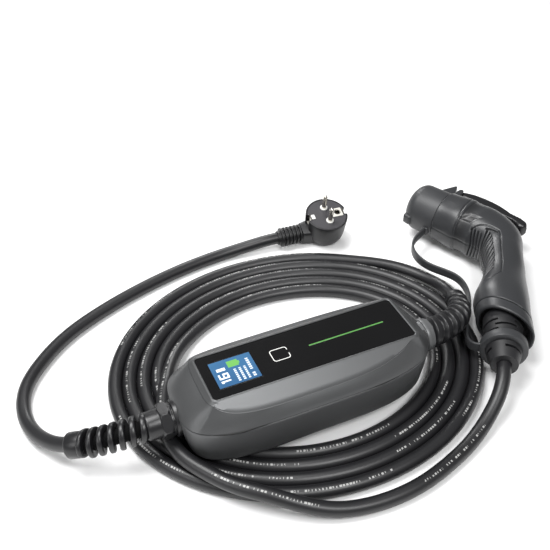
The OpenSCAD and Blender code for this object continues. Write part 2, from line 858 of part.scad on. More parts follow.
// Point of the body's section at a distance s and an angle a, moved inwards by inset
function body_point(s, a, inset) =
  let (d = spine_dir(s), q = cross(d, [0, 0, 1]))
  let (grip = inset > 0 ? 0 : 0.5 * ridge(s) * sqrt(max(0, cos(a))))
  let (depth = table(cos(a) > 0 ? palm_rows : back_rows, s) - inset + grip)
  spine(s) + depth * power(cos(a), 0.9) * (q - lean(s) * d)
    + (table(width_rows, s) - inset + 0.6 * grip) * power(sin(a), 0.9) * [0, 0, 1];

// Section of one half shell: along the outside and back along the inside
half_n = 14;
function half_ring(s) = concat(
  [for (i = [0 : half_n]) body_point(s, i * 180 / half_n, 0)],
  [for (i = [half_n : -1 : 0]) body_point(s, i * 180 / half_n, shell_t)]
);

// Stations along the shells, close together at the finger ridges
shell_stops = concat(
  [0, body_l / 2],
  [for (i = [0 : 4]) body_l + arc_l * i / 6],
  [for (s = [ridge_from : ridge_step / 3 : ridge_to]) s],
  [for (i = [1 : 4]) mix(ridge_to, ring_s, i / 4)]
);

// Distances along the spine of the screws that join the shells
screw_stops = [body_l - 4, h0 + 12, h0 + 62];
gun_boss_r = 5;
head_z = 12;
module gun_screw_places() {
  for (s = screw_stops) translate(spine(s)) children();
}

// Rail beside the lever well, rooted in the wall of the shell
lever_in = lever_w + 0.8;
rail_t = 3;
rail_stops = [1, body_l, body_l + arc_l * 0.3, body_l + arc_l * 0.5];
module lever_rail(up) {
  root = [for (s = rail_stops)
    spine(s) - (0.93 * table(back_rows, s) - shell_t / 2) * cross(spine_dir(s), [0, 0, 1])];
  crest = [[-82, -28], [-60, -35], [back_x - 1, -39]];
  translate([0, 0, up > 0 ? lever_in : -lever_in - rail_t]) linear_extrude(rail_t)
    polygon(concat([for (p = root) [p[0], p[1]]], crest));
}

module gun_shell(up) {
  difference() {
    union() {
      mirror([0, 0, up > 0 ? 0 : 1]) skin([for (s = shell_stops) half_ring(s)]);
      lever_rail(up);
      for (s = screw_stops) translate(spine(s)) {
        z = table(width_rows, s) - shell_t / 2;
        translate([0, 0, up > 0 ? 0 : -z]) cylinder(r = gun_boss_r, h = z);
      }
    }
    gun_screw_places() {
      if (up > 0) {
        translate([0, 0, -1]) cylinder(r = screw_r - fit, h = head_z + 1);
      } else {
        translate([0, 0, -40]) cylinder(r = screw_r + fit, h = 50);
        translate([0, 0, -40]) cylinder(r = head_r + fit, h = 40 - head_z);
      }
    }
  }
}

module gun_left_shell() {
  color(c_gun) at_gun() gun_shell(1);
}

module gun_right_shell() {
  color(c_gun) at_gun() gun_shell(-1);
}

module gun_screws() {
  head_h = 2.4;
  color(c_metal) at_gun() gun_screw_places() {
    translate([0, 0, -head_z - head_h]) cylinder(r = head_r, h = head_h);
    translate([0, 0, -head_z]) cylinder(r = screw_r - fit - 0.05, h = 2 * head_z - 1);
  }
}

// Ring that closes the end of the handle and holds the strain relief in its open end
well_l = 9;
module gun_tail_ring() {
  d = spine_dir(spine_l);
  color(c_gun) at_gun() difference() {
    skin([for (i = [0 : 6])
      let (s = mix(ring_s, spine_l, i / 6))
      [for (a = [0 : 10 : 350]) body_point(s, a, 0)]]);
    translate(spine(ring_s)) rotate([0, 90, atan2(d[1], d[0])]) {
      translate([0, 0, -15]) cylinder(r = relief_r - 3 + fit, h = tail_l + 19);
      translate([0, 0, tail_l - 10]) cylinder(r = relief_r + fit, h = 20);
    }
    skin([for (s = [spine_l - well_l, spine_l + 15]) [for (a = [0 : 10 : 350]) body_point(s, a, shell_t)]]);
  }
}

// Strain relief with slots, and a groove for the tether ring
tether_s = 20;
module strain_relief() {
  d = spine_dir(spine_l);
  color(c_rubber) at_gun() translate(spine(spine_l)) rotate([0, 90, atan2(d[1], d[0])]) difference() {
    union() {
      translate([0, 0, -10]) cylinder(r = relief_r, h = 10);
      translate([0, 0, -tail_l + 1]) cylinder(r = relief_r - 3, h = tail_l - 10);
      cylinder(r1 = relief_r, r2 = relief_r - 2, h = tether_s);
      translate([0, 0, tether_s]) cylinder(r = relief_r - 4, h = strap_w + 1);
      translate([0, 0, tether_s + strap_w + 1])
        cylinder(r1 = relief_r - 2, r2 = relief_r - 6, h = relief_l - tether_s - strap_w - 1);
    }
    translate([0, 0, -tail_l]) cylinder(r = cable_r + 0.15, h = tail_l + relief_l + 5);
    for (k = [0 : 2]) for (a = [0, 120, 240]) rotate(a + 60 * k) translate([0, 0, 3 + 5.5 * k])
      slot_cut();
    for (a = [0, 120, 240]) rotate(a + 30) translate([0, 0, tether_s + strap_w + 5]) slot_cut();
  }
}

// Slot that leaves the middle sleeve whole
module slot_cut() {
  rotate(-35) rotate_extrude(angle = 70) translate([cable_r + 3.4, 0]) square([relief_r, 2.4]);
}

cap_r = nose_r + cap_gap + cap_t;
// Nose: a tapered housing, a flange and the round front that enters the inlet
well_r = nose_r - 3;
flange_x = nose_tip - nose_l;
well_x = flange_x + 2;
bridge_y = -34;
bridge_w = lever_in + rail_t;
latch_at = [-22, -31];
lever_at = [-9, -41];
module nose_housing() {
  color(c_gun) at_gun() difference() {
    union() {
      along_nose() rotate_extrude($fn = 72) polygon([
        [0, back_x], [body_r - 1, back_x], [flange_r, flange_x - 1], [flange_r - 1, flange_x],
        [nose_r, flange_x], [nose_r, nose_tip - 2], [nose_r - 2, nose_tip], [0, nose_tip]]);
      block([back_x, bridge_y, -bridge_w], [-4, -20, bridge_w]);
      block([-15, -45, lever_in], [-4, -30, bridge_w]);
      block([-15, -45, -bridge_w], [-4, -30, -lever_in]);
    }
    x_cylinder(well_r, well_x, nose_tip + 1);
    x_cylinder(body_r - 6, back_x - 1, flange_x - 5);
    difference() {
      x_cylinder(cap_r + 0.5, flange_x, nose_tip + 1);
      x_cylinder(nose_r, flange_x - 1, nose_tip + 2);
    }
    block([back_x - 1, bridge_y - 20, -arm_w - 0.6], [1, -26.2, arm_w + 0.6]);
    for (p = [latch_at, lever_at]) translate([p[0], p[1], -20]) cylinder(r = pivot_r + 0.02, h = 40);
  }
}

// Five contacts: three for power and earth, two small ones for the signals
contact_rows = [[0, -10.5, 2.4], [10, -3.6, 2.4], [-10, -3.6, 2.4], [6.2, 9.2, 1.6], [-6.2, 9.2, 1.6]];
carrier_l = 20;
module contact_carrier() {
  color(c_black) at_gun() difference() {
    x_cylinder(well_r - 2, well_x, well_x + carrier_l);
    for (c = contact_rows) translate([0, c[1], c[0]])
      x_cylinder(c[2] + 1, well_x - 1, well_x + carrier_l + 1);
  }
}

module contact_sleeves() {
  color(c_brass) at_gun() for (c = contact_rows) translate([0, c[1], c[0]]) difference() {
    x_cylinder(c[2] + 0.98, well_x, well_x + carrier_l - 1);
    x_cylinder(c[2], well_x + 3, well_x + carrier_l + 1);
  }
}

// Latch arm with its tooth, a ramp in front and a steep catch behind, and a nub under the lever
module latch_hook() {
  tip = 13;
  color(c_gun) at_gun() difference() {
    union() {
      translate([0, 0, -arm_w]) linear_extrude(2 * arm_w) polygon([
        [latch_at[0], -34], [-17.5, -34], [-16.2, -36.6], [-14, -36.6], [-12.5, -34.2], [-1.5, -34.5],
        [-1, -35 - tooth_h], [1, -35 - tooth_h], [tip, -33], [tip, -29.5], [latch_at[0], -28]]);
      translate([latch_at[0], latch_at[1], -arm_w]) cylinder(r = 3.4, h = 2 * arm_w);
    }
    translate([latch_at[0], latch_at[1], -20]) cylinder(r = pivot_r + pivot_play, h = 40);
  }
}

module pivot_at(p) {
  translate([p[0], p[1], 0.5 - bridge_w]) cylinder(r = pivot_r, h = 2 * bridge_w - 1);
}

module latch_pin() {
  color(c_metal) at_gun() pivot_at(latch_at);
}

module lever_pin() {
  color(c_metal) at_gun() pivot_at(lever_at);
}

// Spring that stands on the shells and lifts the lever
spring_x = -50;
spring_r = 2.5;
wire_r = 0.45;
// Underside of the lever above the spring, and the play left there
lever_seat = -34.2;
spring_play = 0.55;
module latch_spring() {
  foot = 0.6 - body_r;
  rise_l = foot - lever_seat - wire_r - spring_play;
  steps = 36;
  color(c_metal) at_gun() skin([for (i = [0 : steps])
    let (a = i * 30, o = [cos(a), 0, -sin(a)])
    [for (k = [0 : 60 : 300])
      [spring_x, foot - rise_l * i / steps + wire_r * sin(k), 0] + (spring_r + wire_r * cos(k)) * o]]);
}

// Switch that tells the control box of a pressed lever, with its two terminals
module micro_switch() {
  top = 4.2 - body_r;
  color(c_part) at_gun() {
    block([-46, top, -4], [-34, top + 8, 4]);
    for (x = [-44, -37]) block([x, top + 8, -1.5], [x + 1, top + 11, 1.5]);
  }
}

// Lever: a bar that swings on a pin at its front, with a rounded thumb end
module release_lever() {
  color(c_black) at_gun() difference() {
    union() {
      translate([0, 0, -lever_w]) linear_extrude(2 * lever_w) polygon([
        [-4.5, -42], [-8, -45.5], [-20, -46], [-23, -45], [-62, -41.5], [-74, -42], [-86, -40.5],
        [-86, -33], [-70, -32.6], [-14, -37.2], [-6, -38]]);
      translate([-85, -36.8, -lever_w]) cylinder(r = 4.6, h = 2 * lever_w);
      for (i = [0 : 3]) translate([-72 - 4 * i, -41.4, -lever_w])
        cylinder(r = 1.2, h = 2 * lever_w, $fn = 24);
    }
    translate([lever_at[0], lever_at[1], -20]) cylinder(r = pivot_r + pivot_play, h = 40);
  }
}

// Dust cap: a domed cup over the nose, with a pull tab and a lug for the strap
cap_x0 = flange_x + 0.6;
cap_x1 = nose_tip + cap_gap + 7.6;
lug_x = -5;
lug_z = -8;
lug_h = 1.6;
module dust_cap() {
  dome_l = 12;
  dome_r = 14;
  color(c_gun) at_gun() difference() {
    union() {
      along_nose() rotate_extrude($fn = 72) polygon(concat(
        [[0, cap_x0], [cap_r, cap_x0]],
        [for (a = [0 : 10 : 90]) [cap_r - dome_r * (1 - cos(a)), cap_x1 - dome_l * (1 - sin(a))]],
        [[0, cap_x1]]));
      block([cap_x1 - 12, cap_r - 9, -6], [cap_x1 - 3, cap_r + 1, 6]);
      translate([lug_x, cap_r + lug_h, lug_z]) block([-4, -7, -strap_w / 2], [4, 0, strap_w / 2]);
    }
    x_cylinder(nose_r + cap_gap, cap_x0 - 5, nose_tip + cap_gap);
    along_nose() translate([0, 0, nose_tip]) cylinder(r1 = nose_r, r2 = 12, h = 5);
  }
}

// Flat strap from the cap to a ring in the groove of the strain relief
module cap_strap() {
  d = spine_dir(spine_l);
  groove = relief_r - 4 + 0.15;
  root = [for (d = [rest, 5]) gun_point([lug_x, cap_r + lug_h + d, lug_z])];
  path = concat(root, strap_route);
  color(c_rubber) {
    skin([for (i = [0 : len(path) - 1])
      let (f = along(path, i), s = side(f))
      [for (k = [[-1, -1], [1, -1], [1, 1], [-1, 1]])
        path[i] + k[0] * strap_t / 2 * s + [0, 0, k[1] * strap_w / 2]]]);
    at_gun() translate(spine(spine_l)) rotate([0, 90, atan2(d[1], d[0])])
      translate([0, 0, tether_s + 0.5]) difference() {
        cylinder(r = relief_r + 3, h = strap_w);
        translate([0, 0, -1]) cylinder(r = groove, h = strap_w + 2);
      }
  }
}

lower_housing();
upper_housing();
housing_seal();
front_panel();
display_module();
touch_sensor();
status_light();
main_board();
power_relays();
current_sensor();
power_transformer();
capacitors();
terminal_block();
board_screws();
housing_screws();
gland_washer();
gland_body();
gland_seal();
gland_locknut();
spiral_nut();
outlet_collar();
outlet_locknut();
outlet_boot();
supply_cord();
plug_body();
mains_pins();
pin_collars();
earth_clips();
earth_socket();
cable_start();
cable_coil();
cable_end();
gun_left_shell();
gun_right_shell();
gun_tail_ring();
gun_screws();
nose_housing();
contact_carrier();
contact_sleeves();
latch_hook();
latch_pin();
latch_spring();
release_lever();
lever_pin();
micro_switch();
strain_relief();
dust_cap();
cap_strap();
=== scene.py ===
import json
import math

import bpy
import numpy as np
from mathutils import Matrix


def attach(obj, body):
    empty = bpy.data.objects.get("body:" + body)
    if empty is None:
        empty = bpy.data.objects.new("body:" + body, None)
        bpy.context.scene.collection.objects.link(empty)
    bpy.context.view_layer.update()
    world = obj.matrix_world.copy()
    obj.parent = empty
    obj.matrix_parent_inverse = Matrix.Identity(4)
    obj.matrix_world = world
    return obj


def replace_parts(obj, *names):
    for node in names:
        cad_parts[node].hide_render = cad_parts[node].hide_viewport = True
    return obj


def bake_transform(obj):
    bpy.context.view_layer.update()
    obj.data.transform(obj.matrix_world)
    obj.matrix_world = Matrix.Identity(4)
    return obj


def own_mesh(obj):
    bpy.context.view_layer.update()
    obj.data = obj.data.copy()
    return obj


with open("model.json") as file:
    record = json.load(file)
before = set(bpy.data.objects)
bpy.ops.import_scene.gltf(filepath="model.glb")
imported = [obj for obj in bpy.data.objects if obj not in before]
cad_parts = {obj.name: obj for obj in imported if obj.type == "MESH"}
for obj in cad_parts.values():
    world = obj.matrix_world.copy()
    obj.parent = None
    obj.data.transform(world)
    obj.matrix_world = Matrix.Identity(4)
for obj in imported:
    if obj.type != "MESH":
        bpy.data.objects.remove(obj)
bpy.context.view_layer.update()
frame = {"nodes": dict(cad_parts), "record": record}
nodes = frame["nodes"]
mm = 0.001
print("frame loaded:", len(nodes), "solids")


# shader maths: a socket with operators, and one method that makes every node

class Socket:
    def __init__(self, finish, link):
        self.finish, self.link = finish, link

    def maths(self, operation, *values):
        return self.finish.add("ShaderNodeMath", {"operation": operation}, values)

    def __add__(self, other):
        return self.maths("ADD", self, other)

    def __radd__(self, other):
        return self.maths("ADD", other, self)

    def __sub__(self, other):
        return self.maths("SUBTRACT", self, other)

    def __rsub__(self, other):
        return self.maths("SUBTRACT", other, self)

    def __mul__(self, other):
        return self.maths("MULTIPLY", self, other)

    def __rmul__(self, other):
        return self.maths("MULTIPLY", other, self)

    def __mod__(self, other):
        return self.maths("FLOORED_MODULO", self, other)

    def __rmod__(self, other):
        return self.maths("FLOORED_MODULO", other, self)

    def __gt__(self, other):
        return self.maths("GREATER_THAN", self, other)

    def __lt__(self, other):
        return self.maths("LESS_THAN", self, other)

    def __abs__(self):
        return self.maths("ABSOLUTE", self)

    def __or__(self, other):  # the larger of two masks
        return self.maths("MAXIMUM", self, other)

    def __ror__(self, other):
        return self.maths("MAXIMUM", other, self)


class Finish:
    def __init__(self, name):
        self.material = bpy.data.materials.new(name)
        self.material.use_nodes = True
        self.tree = self.material.node_tree
        self.tree.nodes.clear()
        self.shader = self.tree.nodes.new("ShaderNodeBsdfPrincipled")
        ending = self.tree.nodes.new("ShaderNodeOutputMaterial")
        self.tree.links.new(self.shader.outputs[0], ending.inputs[0])

    def add(self, kind, settings=None, values=(), output=0):  # settings first, then values or links
        node = self.tree.nodes.new(kind)
        for key, value in (settings or {}).items():
            setattr(node, key, value)
        self.fill(node, values)
        return Socket(self, node.outputs[output])

    def fill(self, node, values):
        pairs = values.items() if isinstance(values, dict) else enumerate(values)
        for key, value in pairs:
            socket = node.inputs[key]
            if isinstance(value, Socket):
                self.tree.links.new(value.link, socket)
            else:
                socket.default_value = value

    def shade(self, **values):  # Base_Color -> "Base Color"
        self.fill(self.shader, {key.replace("_", " "): value for key, value in values.items()})
        return self.material

    def place(self):
        return self.add("ShaderNodeTexCoord", output="Object")

    def uv(self):  # the piece's own map, as two sockets
        split = self.add("ShaderNodeSeparateXYZ", None, [self.add("ShaderNodeUVMap", {"uv_map": "pieceMap"})])
        return split, Socket(self, split.link.node.outputs[1])

    def noise(self, scale, detail):
        values = {"Vector": self.place(), "Scale": scale, "Detail": detail}
        return self.add("ShaderNodeTexNoise", None, values)

    def mix(self, factor, first, second):
        return self.add("ShaderNodeMix", {"data_type": "RGBA"}, {0: factor, 6: first, 7: second}, output=2)

    def window(self, u, v, uMid, vMid, uHalf, vHalf):  # 1 inside a rectangle, 0 outside
        return (abs(u - uMid) < uHalf) * (abs(v - vMid) < vHalf)

    def relief(self, height, strength, distance, edge=0.0):
        values = {"Strength": strength, "Distance": distance, "Height": height}
        if edge:
            values["Normal"] = self.add("ShaderNodeBevel", {"samples": 6}, {"Radius": edge})
        return self.add("ShaderNodeBump", None, values)


def srgb(red, green, blue):  # 0 to 255 as seen on screen -> linear
    c = np.array([red, green, blue]) / 255
    return (*np.where(c <= 0.04045, c / 12.92, ((c + 0.055) / 1.055) ** 2.4), 1.0)


def toned(colour, share):
    return tuple(c * share for c in colour[:3]) + (1.0,)


# moulded plastics and rubbers: fine grain in the relief, slow drift in tone and gloss;
# painted shade: a groove colour is laid in by the map's u, which says how deep a point lies in the grooves, 0
# to 1
mouldedGrain = {"slow": 22, "detail": 3, "fine": 2600, "slowShare": 0.6, "spread": 0.14, "drift": 0.08,
                "strength": 0.5, "grooveShadeCover": 0.85}


def moulded(name, colour, rough, grain=0.00004, metallic=0.0, edge=0.0, shine=0.5, groove=None):
    f, c = Finish(name), mouldedGrain
    slow, fine = f.noise(c["slow"], c["detail"]), f.noise(c["fine"], 1)
    tone = f.mix(slow, toned(colour, 1 - c["drift"]), toned(colour, 1 + c["drift"]))
    # painted shade: the tone goes towards the groove colour where a point lies deep in a groove
    if groove:
        tone = f.mix(f.uv()[0] * c["grooveShadeCover"], tone, groove)
    gloss = slow * c["slowShare"] + fine * (1 - c["slowShare"])
    return f.shade(Base_Color=tone, Roughness=gloss * c["spread"] + (rough - c["spread"] / 2),
                   Metallic=metallic, Specular_IOR_Level=shine,
                   Normal=f.relief(fine, c["strength"], grain, edge))


# plated metals: dull patches in the tone, fine patches in the gloss
platedGrain = {"slow": 60, "fine": 400, "detail": 3, "dull": 0.86, "spread": 0.14, "below": 0.06,
               "strength": 0.2, "depth": 0.00003}


def plated(name, colour, rough, edge=0.0003):
    f, c = Finish(name), platedGrain
    slow, fine = f.noise(c["slow"], c["detail"]), f.noise(c["fine"], c["detail"])
    return f.shade(Base_Color=f.mix(slow, toned(colour, c["dull"]), colour), Metallic=1.0,
                   Roughness=fine * c["spread"] + (rough - c["below"]),
                   Normal=f.relief(slow, c["strength"], c["depth"], edge))


finishes = {
    "lower_shell": moulded("lowerShellSatin", srgb(84, 85, 86), 0.42, metallic=0.35),
    "upper_shell": moulded("upperShellSatin", srgb(84, 85, 86), 0.39, metallic=0.55),
    "soft_seal": moulded("sealRubber", srgb(28, 28, 29), 0.7),
    "panel_gloss": moulded("panelGloss", srgb(11, 11, 12), 0.16, grain=0.000002, edge=0.0006, shine=0.35),
    "display": moulded("displayBezel", srgb(16, 18, 22), 0.2, grain=0.000002),
    "white_print": moulded("whitePrint", srgb(226, 226, 222), 0.45),
    "board": moulded("solderMask", srgb(28, 92, 52), 0.4),
    "inner_black": moulded("innerBlack", srgb(30, 30, 32), 0.5),
    "copper": plated("woundCopper", srgb(196, 122, 78), 0.32),
    "screw_steel": plated("screwSteel", srgb(176, 176, 174), 0.3),
    "nylon": moulded("blackNylon", srgb(23, 23, 25), 0.34, edge=0.0005),
    "collar_grey": moulded("collarGrey", srgb(98, 99, 100), 0.4, metallic=0.35),
    "plug_rubber": moulded("plugRubber", srgb(19, 19, 21), 0.45, edge=0.0006),
    "nickel": plated("nickelPlate", srgb(206, 202, 194), 0.18),
    "gun_grey": moulded("gunSatin", srgb(45, 46, 48), 0.36, grain=0.00005),
    "contact_brass": plated("contactBrass", srgb(205, 180, 118), 0.25),
    "lever_black": moulded("leverBlack", srgb(20, 20, 22), 0.34),
    "soft_black": moulded("reliefRubber", srgb(26, 26, 28), 0.5, edge=0.0008),
    "cap_rubber": moulded("capRubber", srgb(48, 49, 51), 0.46),
}

# status light: a lit green, lightly mottled
statusLight = {"dark": srgb(70, 124, 60), "light": srgb(88, 142, 76), "mottle": 300,
               "rough": 0.3, "glow": 0.14}


def litGreen(c):
    f = Finish("greenLight")
    glow = f.mix(f.noise(c["mottle"], 1), c["dark"], c["light"])
    return f.shade(Base_Color=glow, Roughness=c["rough"], Emission_Color=glow, Emission_Strength=c["glow"])


# jacket of the charging cable: u runs once round it, v along it in metres; the legend is plain dashes
cableJacket = {
    "at": 0.45, "height": 0.021, "pitch": 0.0027, "repeat": 0.168, "share": 0.5,  # the legend's line
    "longest": 0.8, "blank": 0.16, "wear": 900, "worn": 0.42, "sound": 0.7, "cover": 0.6,  # its dashes
    "ink": srgb(196, 196, 194), "dark": srgb(21, 21, 23), "light": srgb(28, 28, 30),
    "slow": 30, "fine": 1800, "spread": 0.16, "smoothest": 0.32, "strength": 0.35, "depth": 0.00004,
}


def jacket(c):
    f = Finish("cableJacket")
    u, v = f.uv()
    slow, fine = f.noise(c["slow"], 3), f.noise(c["fine"], 2)
    stroke = f.add("ShaderNodeTexWhiteNoise", {"noise_dimensions": "1D"}, {"W": v - v % c["pitch"]})
    dash = (v % c["pitch"] < stroke * c["pitch"] * c["longest"]) * (stroke > c["blank"])
    along = v % c["repeat"] < c["repeat"] * c["share"]
    line = abs(u - c["at"]) < c["height"]
    inked = (f.noise(c["wear"], 1) > c["worn"]) | (stroke > c["sound"])  # elsewhere the ink is worn off
    tone = f.mix(slow, c["dark"], c["light"])
    return f.shade(Base_Color=f.mix(dash * along * line * inked * c["cover"], tone, c["ink"]),
                   Roughness=(fine * 0.5 + slow * 0.5) * c["spread"] + c["smoothest"], Specular_IOR_Level=0.5,
                   Normal=f.relief(fine, c["strength"], c["depth"]))


finishes["light_line"] = litGreen(statusLight)
finishes["cable_rubber"] = jacket(cableJacket)
for row in frame["record"]["subparts"]:
    mesh = nodes[row["node"]].data
    mesh.materials.clear()
    mesh.materials.append(finishes[row["material_slot"]])
print("finishes made:", len(finishes))


# surfaces: points on a grid of two parameters, joined by quads
def surface(name, grid, slot, wrap=True, loop=False, uv=None, sharp=40.0, body="charger", finish=None):
    rows, columns = grid.shape[:2]
    index = np.arange(rows * columns).reshape(rows, columns)
    if wrap:
        index = np.concatenate([index, index[:, :1]], axis=1)
    if loop:
        index = np.concatenate([index, index[:1]], axis=0)
    quads = np.stack([index[:-1, :-1], index[:-1, 1:], index[1:, 1:], index[1:, :-1]], axis=-1).reshape(-1, 4)
    points = grid.reshape(-1, 3)
    corner = points[quads] - points.mean(axis=0)
    volume = np.einsum("ij,ij->i", corner[:, 0], np.cross(corner[:, 1], corner[:, 2])).sum()
    volume += np.einsum("ij,ij->i", corner[:, 0], np.cross(corner[:, 2], corner[:, 3])).sum()
    flip = -1 if volume < 0 and wrap else 1  # inside out: turn every face round
    faces = quads[:, ::flip].tolist()
    if wrap and not loop:  # both ends closed
        faces.append(np.arange(columns)[::-flip].tolist())
        faces.append(np.arange((rows - 1) * columns, rows * columns)[::flip].tolist())
    mesh = bpy.data.meshes.new(name)
    mesh.from_pydata(points.tolist(), [], faces)
    if uv is not None:
        corners = np.stack([uv[:-1, :-1], uv[:-1, 1:], uv[1:, 1:], uv[1:, :-1]], axis=2).reshape(-1, 4, 2)
        values = np.zeros((len(mesh.loops), 2), dtype=np.float32)
        values[:len(quads) * 4] = corners[:, ::flip].reshape(-1, 2)
        mesh.uv_layers.new(name="pieceMap").data.foreach_set("uv", values.ravel())
    mesh.shade_smooth()
    mesh.set_sharp_from_angle(angle=math.radians(sharp))
    mesh.materials.append(finish or finishes[slot])
    piece = bpy.data.objects.new(name, mesh)
    bpy.context.scene.collection.objects.link(piece)
    if body:
        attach(piece, body)
    return piece


def stepsOf(path):  # length of each step
    return np.linalg.norm(np.diff(path, axis=0), axis=1)


def lengthOf(path):
    return float(stepsOf(path).sum())


def runOf(path):  # distance along the path at each point
    return np.concatenate([[0], np.cumsum(stepsOf(path))])


# natural cubic through given points, read again at even steps
def through(points, step):
    p = np.asarray(points, dtype=float)
    t = runOf(p)
    h, n = np.diff(t), len(t)
    system, right = np.eye(n), np.zeros((n, 3))
    i = np.arange(1, n - 1)
    system[i, i - 1], system[i, i], system[i, i + 1] = h[:-1], 2 * (h[:-1] + h[1:]), h[1:]
    slopes = np.diff(p, axis=0) / h[:, None]
    right[1:-1] = 6 * np.diff(slopes, axis=0)
    bend = np.linalg.solve(system, right)
    u = np.linspace(0, t[-1], int(t[-1] / step) + 1)
    k = np.clip(np.searchsorted(t, u, side="right") - 1, 0, n - 2)
    x, w = (u - t[k])[:, None], h[k][:, None]
    return (p[k] + x * (slopes[k] - w * (2 * bend[k] + bend[k + 1]) / 6)
            + x ** 2 * bend[k] / 2 + x ** 3 * (bend[k + 1] - bend[k]) / (6 * w))


def unit(v):
    return v / np.linalg.norm(v, axis=-1, keepdims=True)


# profile along a path: side is level and square to the path, rise is square to both
def frames(path):
    along = unit(np.gradient(path, axis=0))
    side = unit(np.cross(along, [0, 0, 1]))
    return along, side, np.cross(side, along)


def easeStep(t):  # 0 to 1 with level ends
    t = np.clip(t, 0, 1)
    return t * t * (3 - 2 * t)


def signedPower(v, p):
    return np.sign(v) * np.abs(v) ** p


def around(count):
    return np.linspace(0, 2 * np.pi, count, endpoint=False)


def ringOf(a, side, rise):  # cos a * side + sin a * rise, for one place or for each along a path
    return np.cos(a)[:, None] * side[..., None, :] + np.sin(a)[:, None] * rise[..., None, :]


# a round lead: a ring of the radius at each point of the path, the seam underneath
def lead(name, path, radius, sides=24, finish=None):
    _, side, rise = frames(path)
    ring = ringOf(around(sides) - np.pi / 2, side, rise)
    far = runOf(path)
    uv = np.stack(np.broadcast_arrays(np.linspace(0, 1, sides + 1)[None, :], far[:, None]), axis=-1)
    return surface(name, path[:, None] + radius * ring, "cable_rubber", uv=uv, finish=finish)


# a turned piece: rows of (along, radius) swept round an axis from a start point
def turned(start, axis, rows, count):
    axis = unit(np.asarray(axis, dtype=float))
    side = unit(np.cross(axis, [0, 0, 1]))
    rows = np.asarray(rows, dtype=float)
    ring = ringOf(around(count), side, np.cross(side, axis))
    return np.asarray(start) + rows[:, :1, None] * axis + rows[:, 1, None, None] * ring


# points and outward directions round a rectangle with rounded corners
def roundedFrame(halfX, halfY, r, longSide=60, shortSide=18, arc=9):
    a = np.radians(np.concatenate([np.linspace(90 * k, 90 * k + 90, arc) for k in range(4)]))
    away = np.stack([np.cos(a), np.sin(a)], axis=1)
    centre = np.repeat([[1, 1], [-1, 1], [-1, -1], [1, -1]], arc, axis=0) * [halfX - r, halfY - r]
    corners, away = (centre + r * away).reshape(4, arc, 2), away.reshape(4, arc, 2)
    points, outward = [], []
    for k, count in enumerate((longSide, shortSide, longSide, shortSide)):
        t = (np.arange(1, count) / count)[:, None]
        points += [corners[k], corners[k][-1] + t * (corners[(k + 1) % 4][0] - corners[k][-1])]
        outward += [away[k], np.repeat(away[k][-1:], count - 1, axis=0)]
    return np.concatenate(points), np.concatenate(outward)


# a cubic curve by its four ends
def cubic(ends, t):
    p = np.asarray(ends, dtype=float)
    t = np.asarray(t)[:, None]
    return (1 - t) ** 3 * p[0] + 3 * t * (1 - t) ** 2 * p[1] + 3 * t ** 2 * (1 - t) * p[2] + t ** 3 * p[3]


# shares of a cubic curve at even lengths along it
def evenly(ends, count, low=0.0, high=1.0, fineSteps=400):
    t = np.linspace(0, 1, fineSteps)
    run = runOf(cubic(ends, t))
    return np.interp(np.linspace(low, high, count) * run[-1], run, t)


# camera, set to the photograph's angle
view = {"place": (-0.2638, -0.4780, 0.5334), "elevation": 40.0, "azimuth": -24.0,
        "lens": 52.36, "sensor": 36.0}
camera = bpy.data.objects.new("camera", bpy.data.cameras.new("camera"))
camera.data.lens, camera.data.sensor_width = view["lens"], view["sensor"]
camera.location = view["place"]
camera.rotation_euler = (math.radians(90 - view["elevation"]), 0, math.radians(view["azimuth"]))
bpy.context.scene.collection.objects.link(camera)
bpy.context.scene.camera = camera
bpy.context.scene.view_settings.view_transform = "Standard"

# charging cable: out of the boot, turns laid inwards, then up over them and round to the connector
chargingCable = {
    "diameter": 0.0125, "step": 0.004, "clear": 0.0001,  # clear: its room over the floor
    "start": [(126.2, -26.9, 23.3), (127.2, -23, 22.3), (132, -9, 16.5), (134, 6, 11.7), (131, 22, 8.4),
              (123, 40, 6.8), (111, 56, 6.5)],
    "coilAt": (-36, -25, 6.4), "coilTurn": -6, "outer": 174, "narrower": 26, "pitch": 12.65,
    "sweep": (56, 1555, 15),  # degrees: the first, the last and the step
    "climb": [(-133, 32, 8.5), (-148, 10, 13.5), (-159, -12, 18), (-168, -32, 18.9), (-173, -52, 18.9)],
    "end": [(-175, -72, 18.9), (-171, -92, 18.9), (-160, -112, 18.9), (-144, -133, 18.9), (-124, -151, 18.6),
            (-103, -166, 14), (-81, -177, 9), (-57, -183, 6.8), (-29, -185, 6.4), (-1, -182, 6.4),
            (25, -175, 6.4), (47, -167, 6.7), (66, -158, 9), (82, -149, 14.5), (95, -140, 21.5),
            (104, -131, 27), (112.3, -120.5, 29), (118, -112.3, 29)],
}


# a spiral in the plan: half length and half width shrink by one pitch a turn
def coilPoints(c):
    t = np.radians(np.arange(*c["sweep"]))
    long = c["outer"] - c["pitch"] * t / (2 * np.pi)
    x, y = long * np.cos(t), (long - c["narrower"]) * np.sin(t)
    k, (midX, midY, height) = math.radians(c["coilTurn"]), c["coilAt"]
    return np.stack([midX + x * math.cos(k) - y * math.sin(k), midY + x * math.sin(k) + y * math.cos(k),
                     np.full(len(t), height)], axis=1)


def makeChargingCable(c):
    route = np.concatenate([c["start"], coilPoints(c), c["climb"], c["end"]])
    path = through(route * mm, c["step"])
    path[:, 2] = np.maximum(path[:, 2], c["diameter"] / 2 + c["clear"])  # on the floor, not in it
    piece = lead("chargingCable", path, c["diameter"] / 2)
    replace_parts(piece, "cable_start", "cable_coil", "cable_end")
    print("charging cable:", round(lengthOf(path), 3), "m")


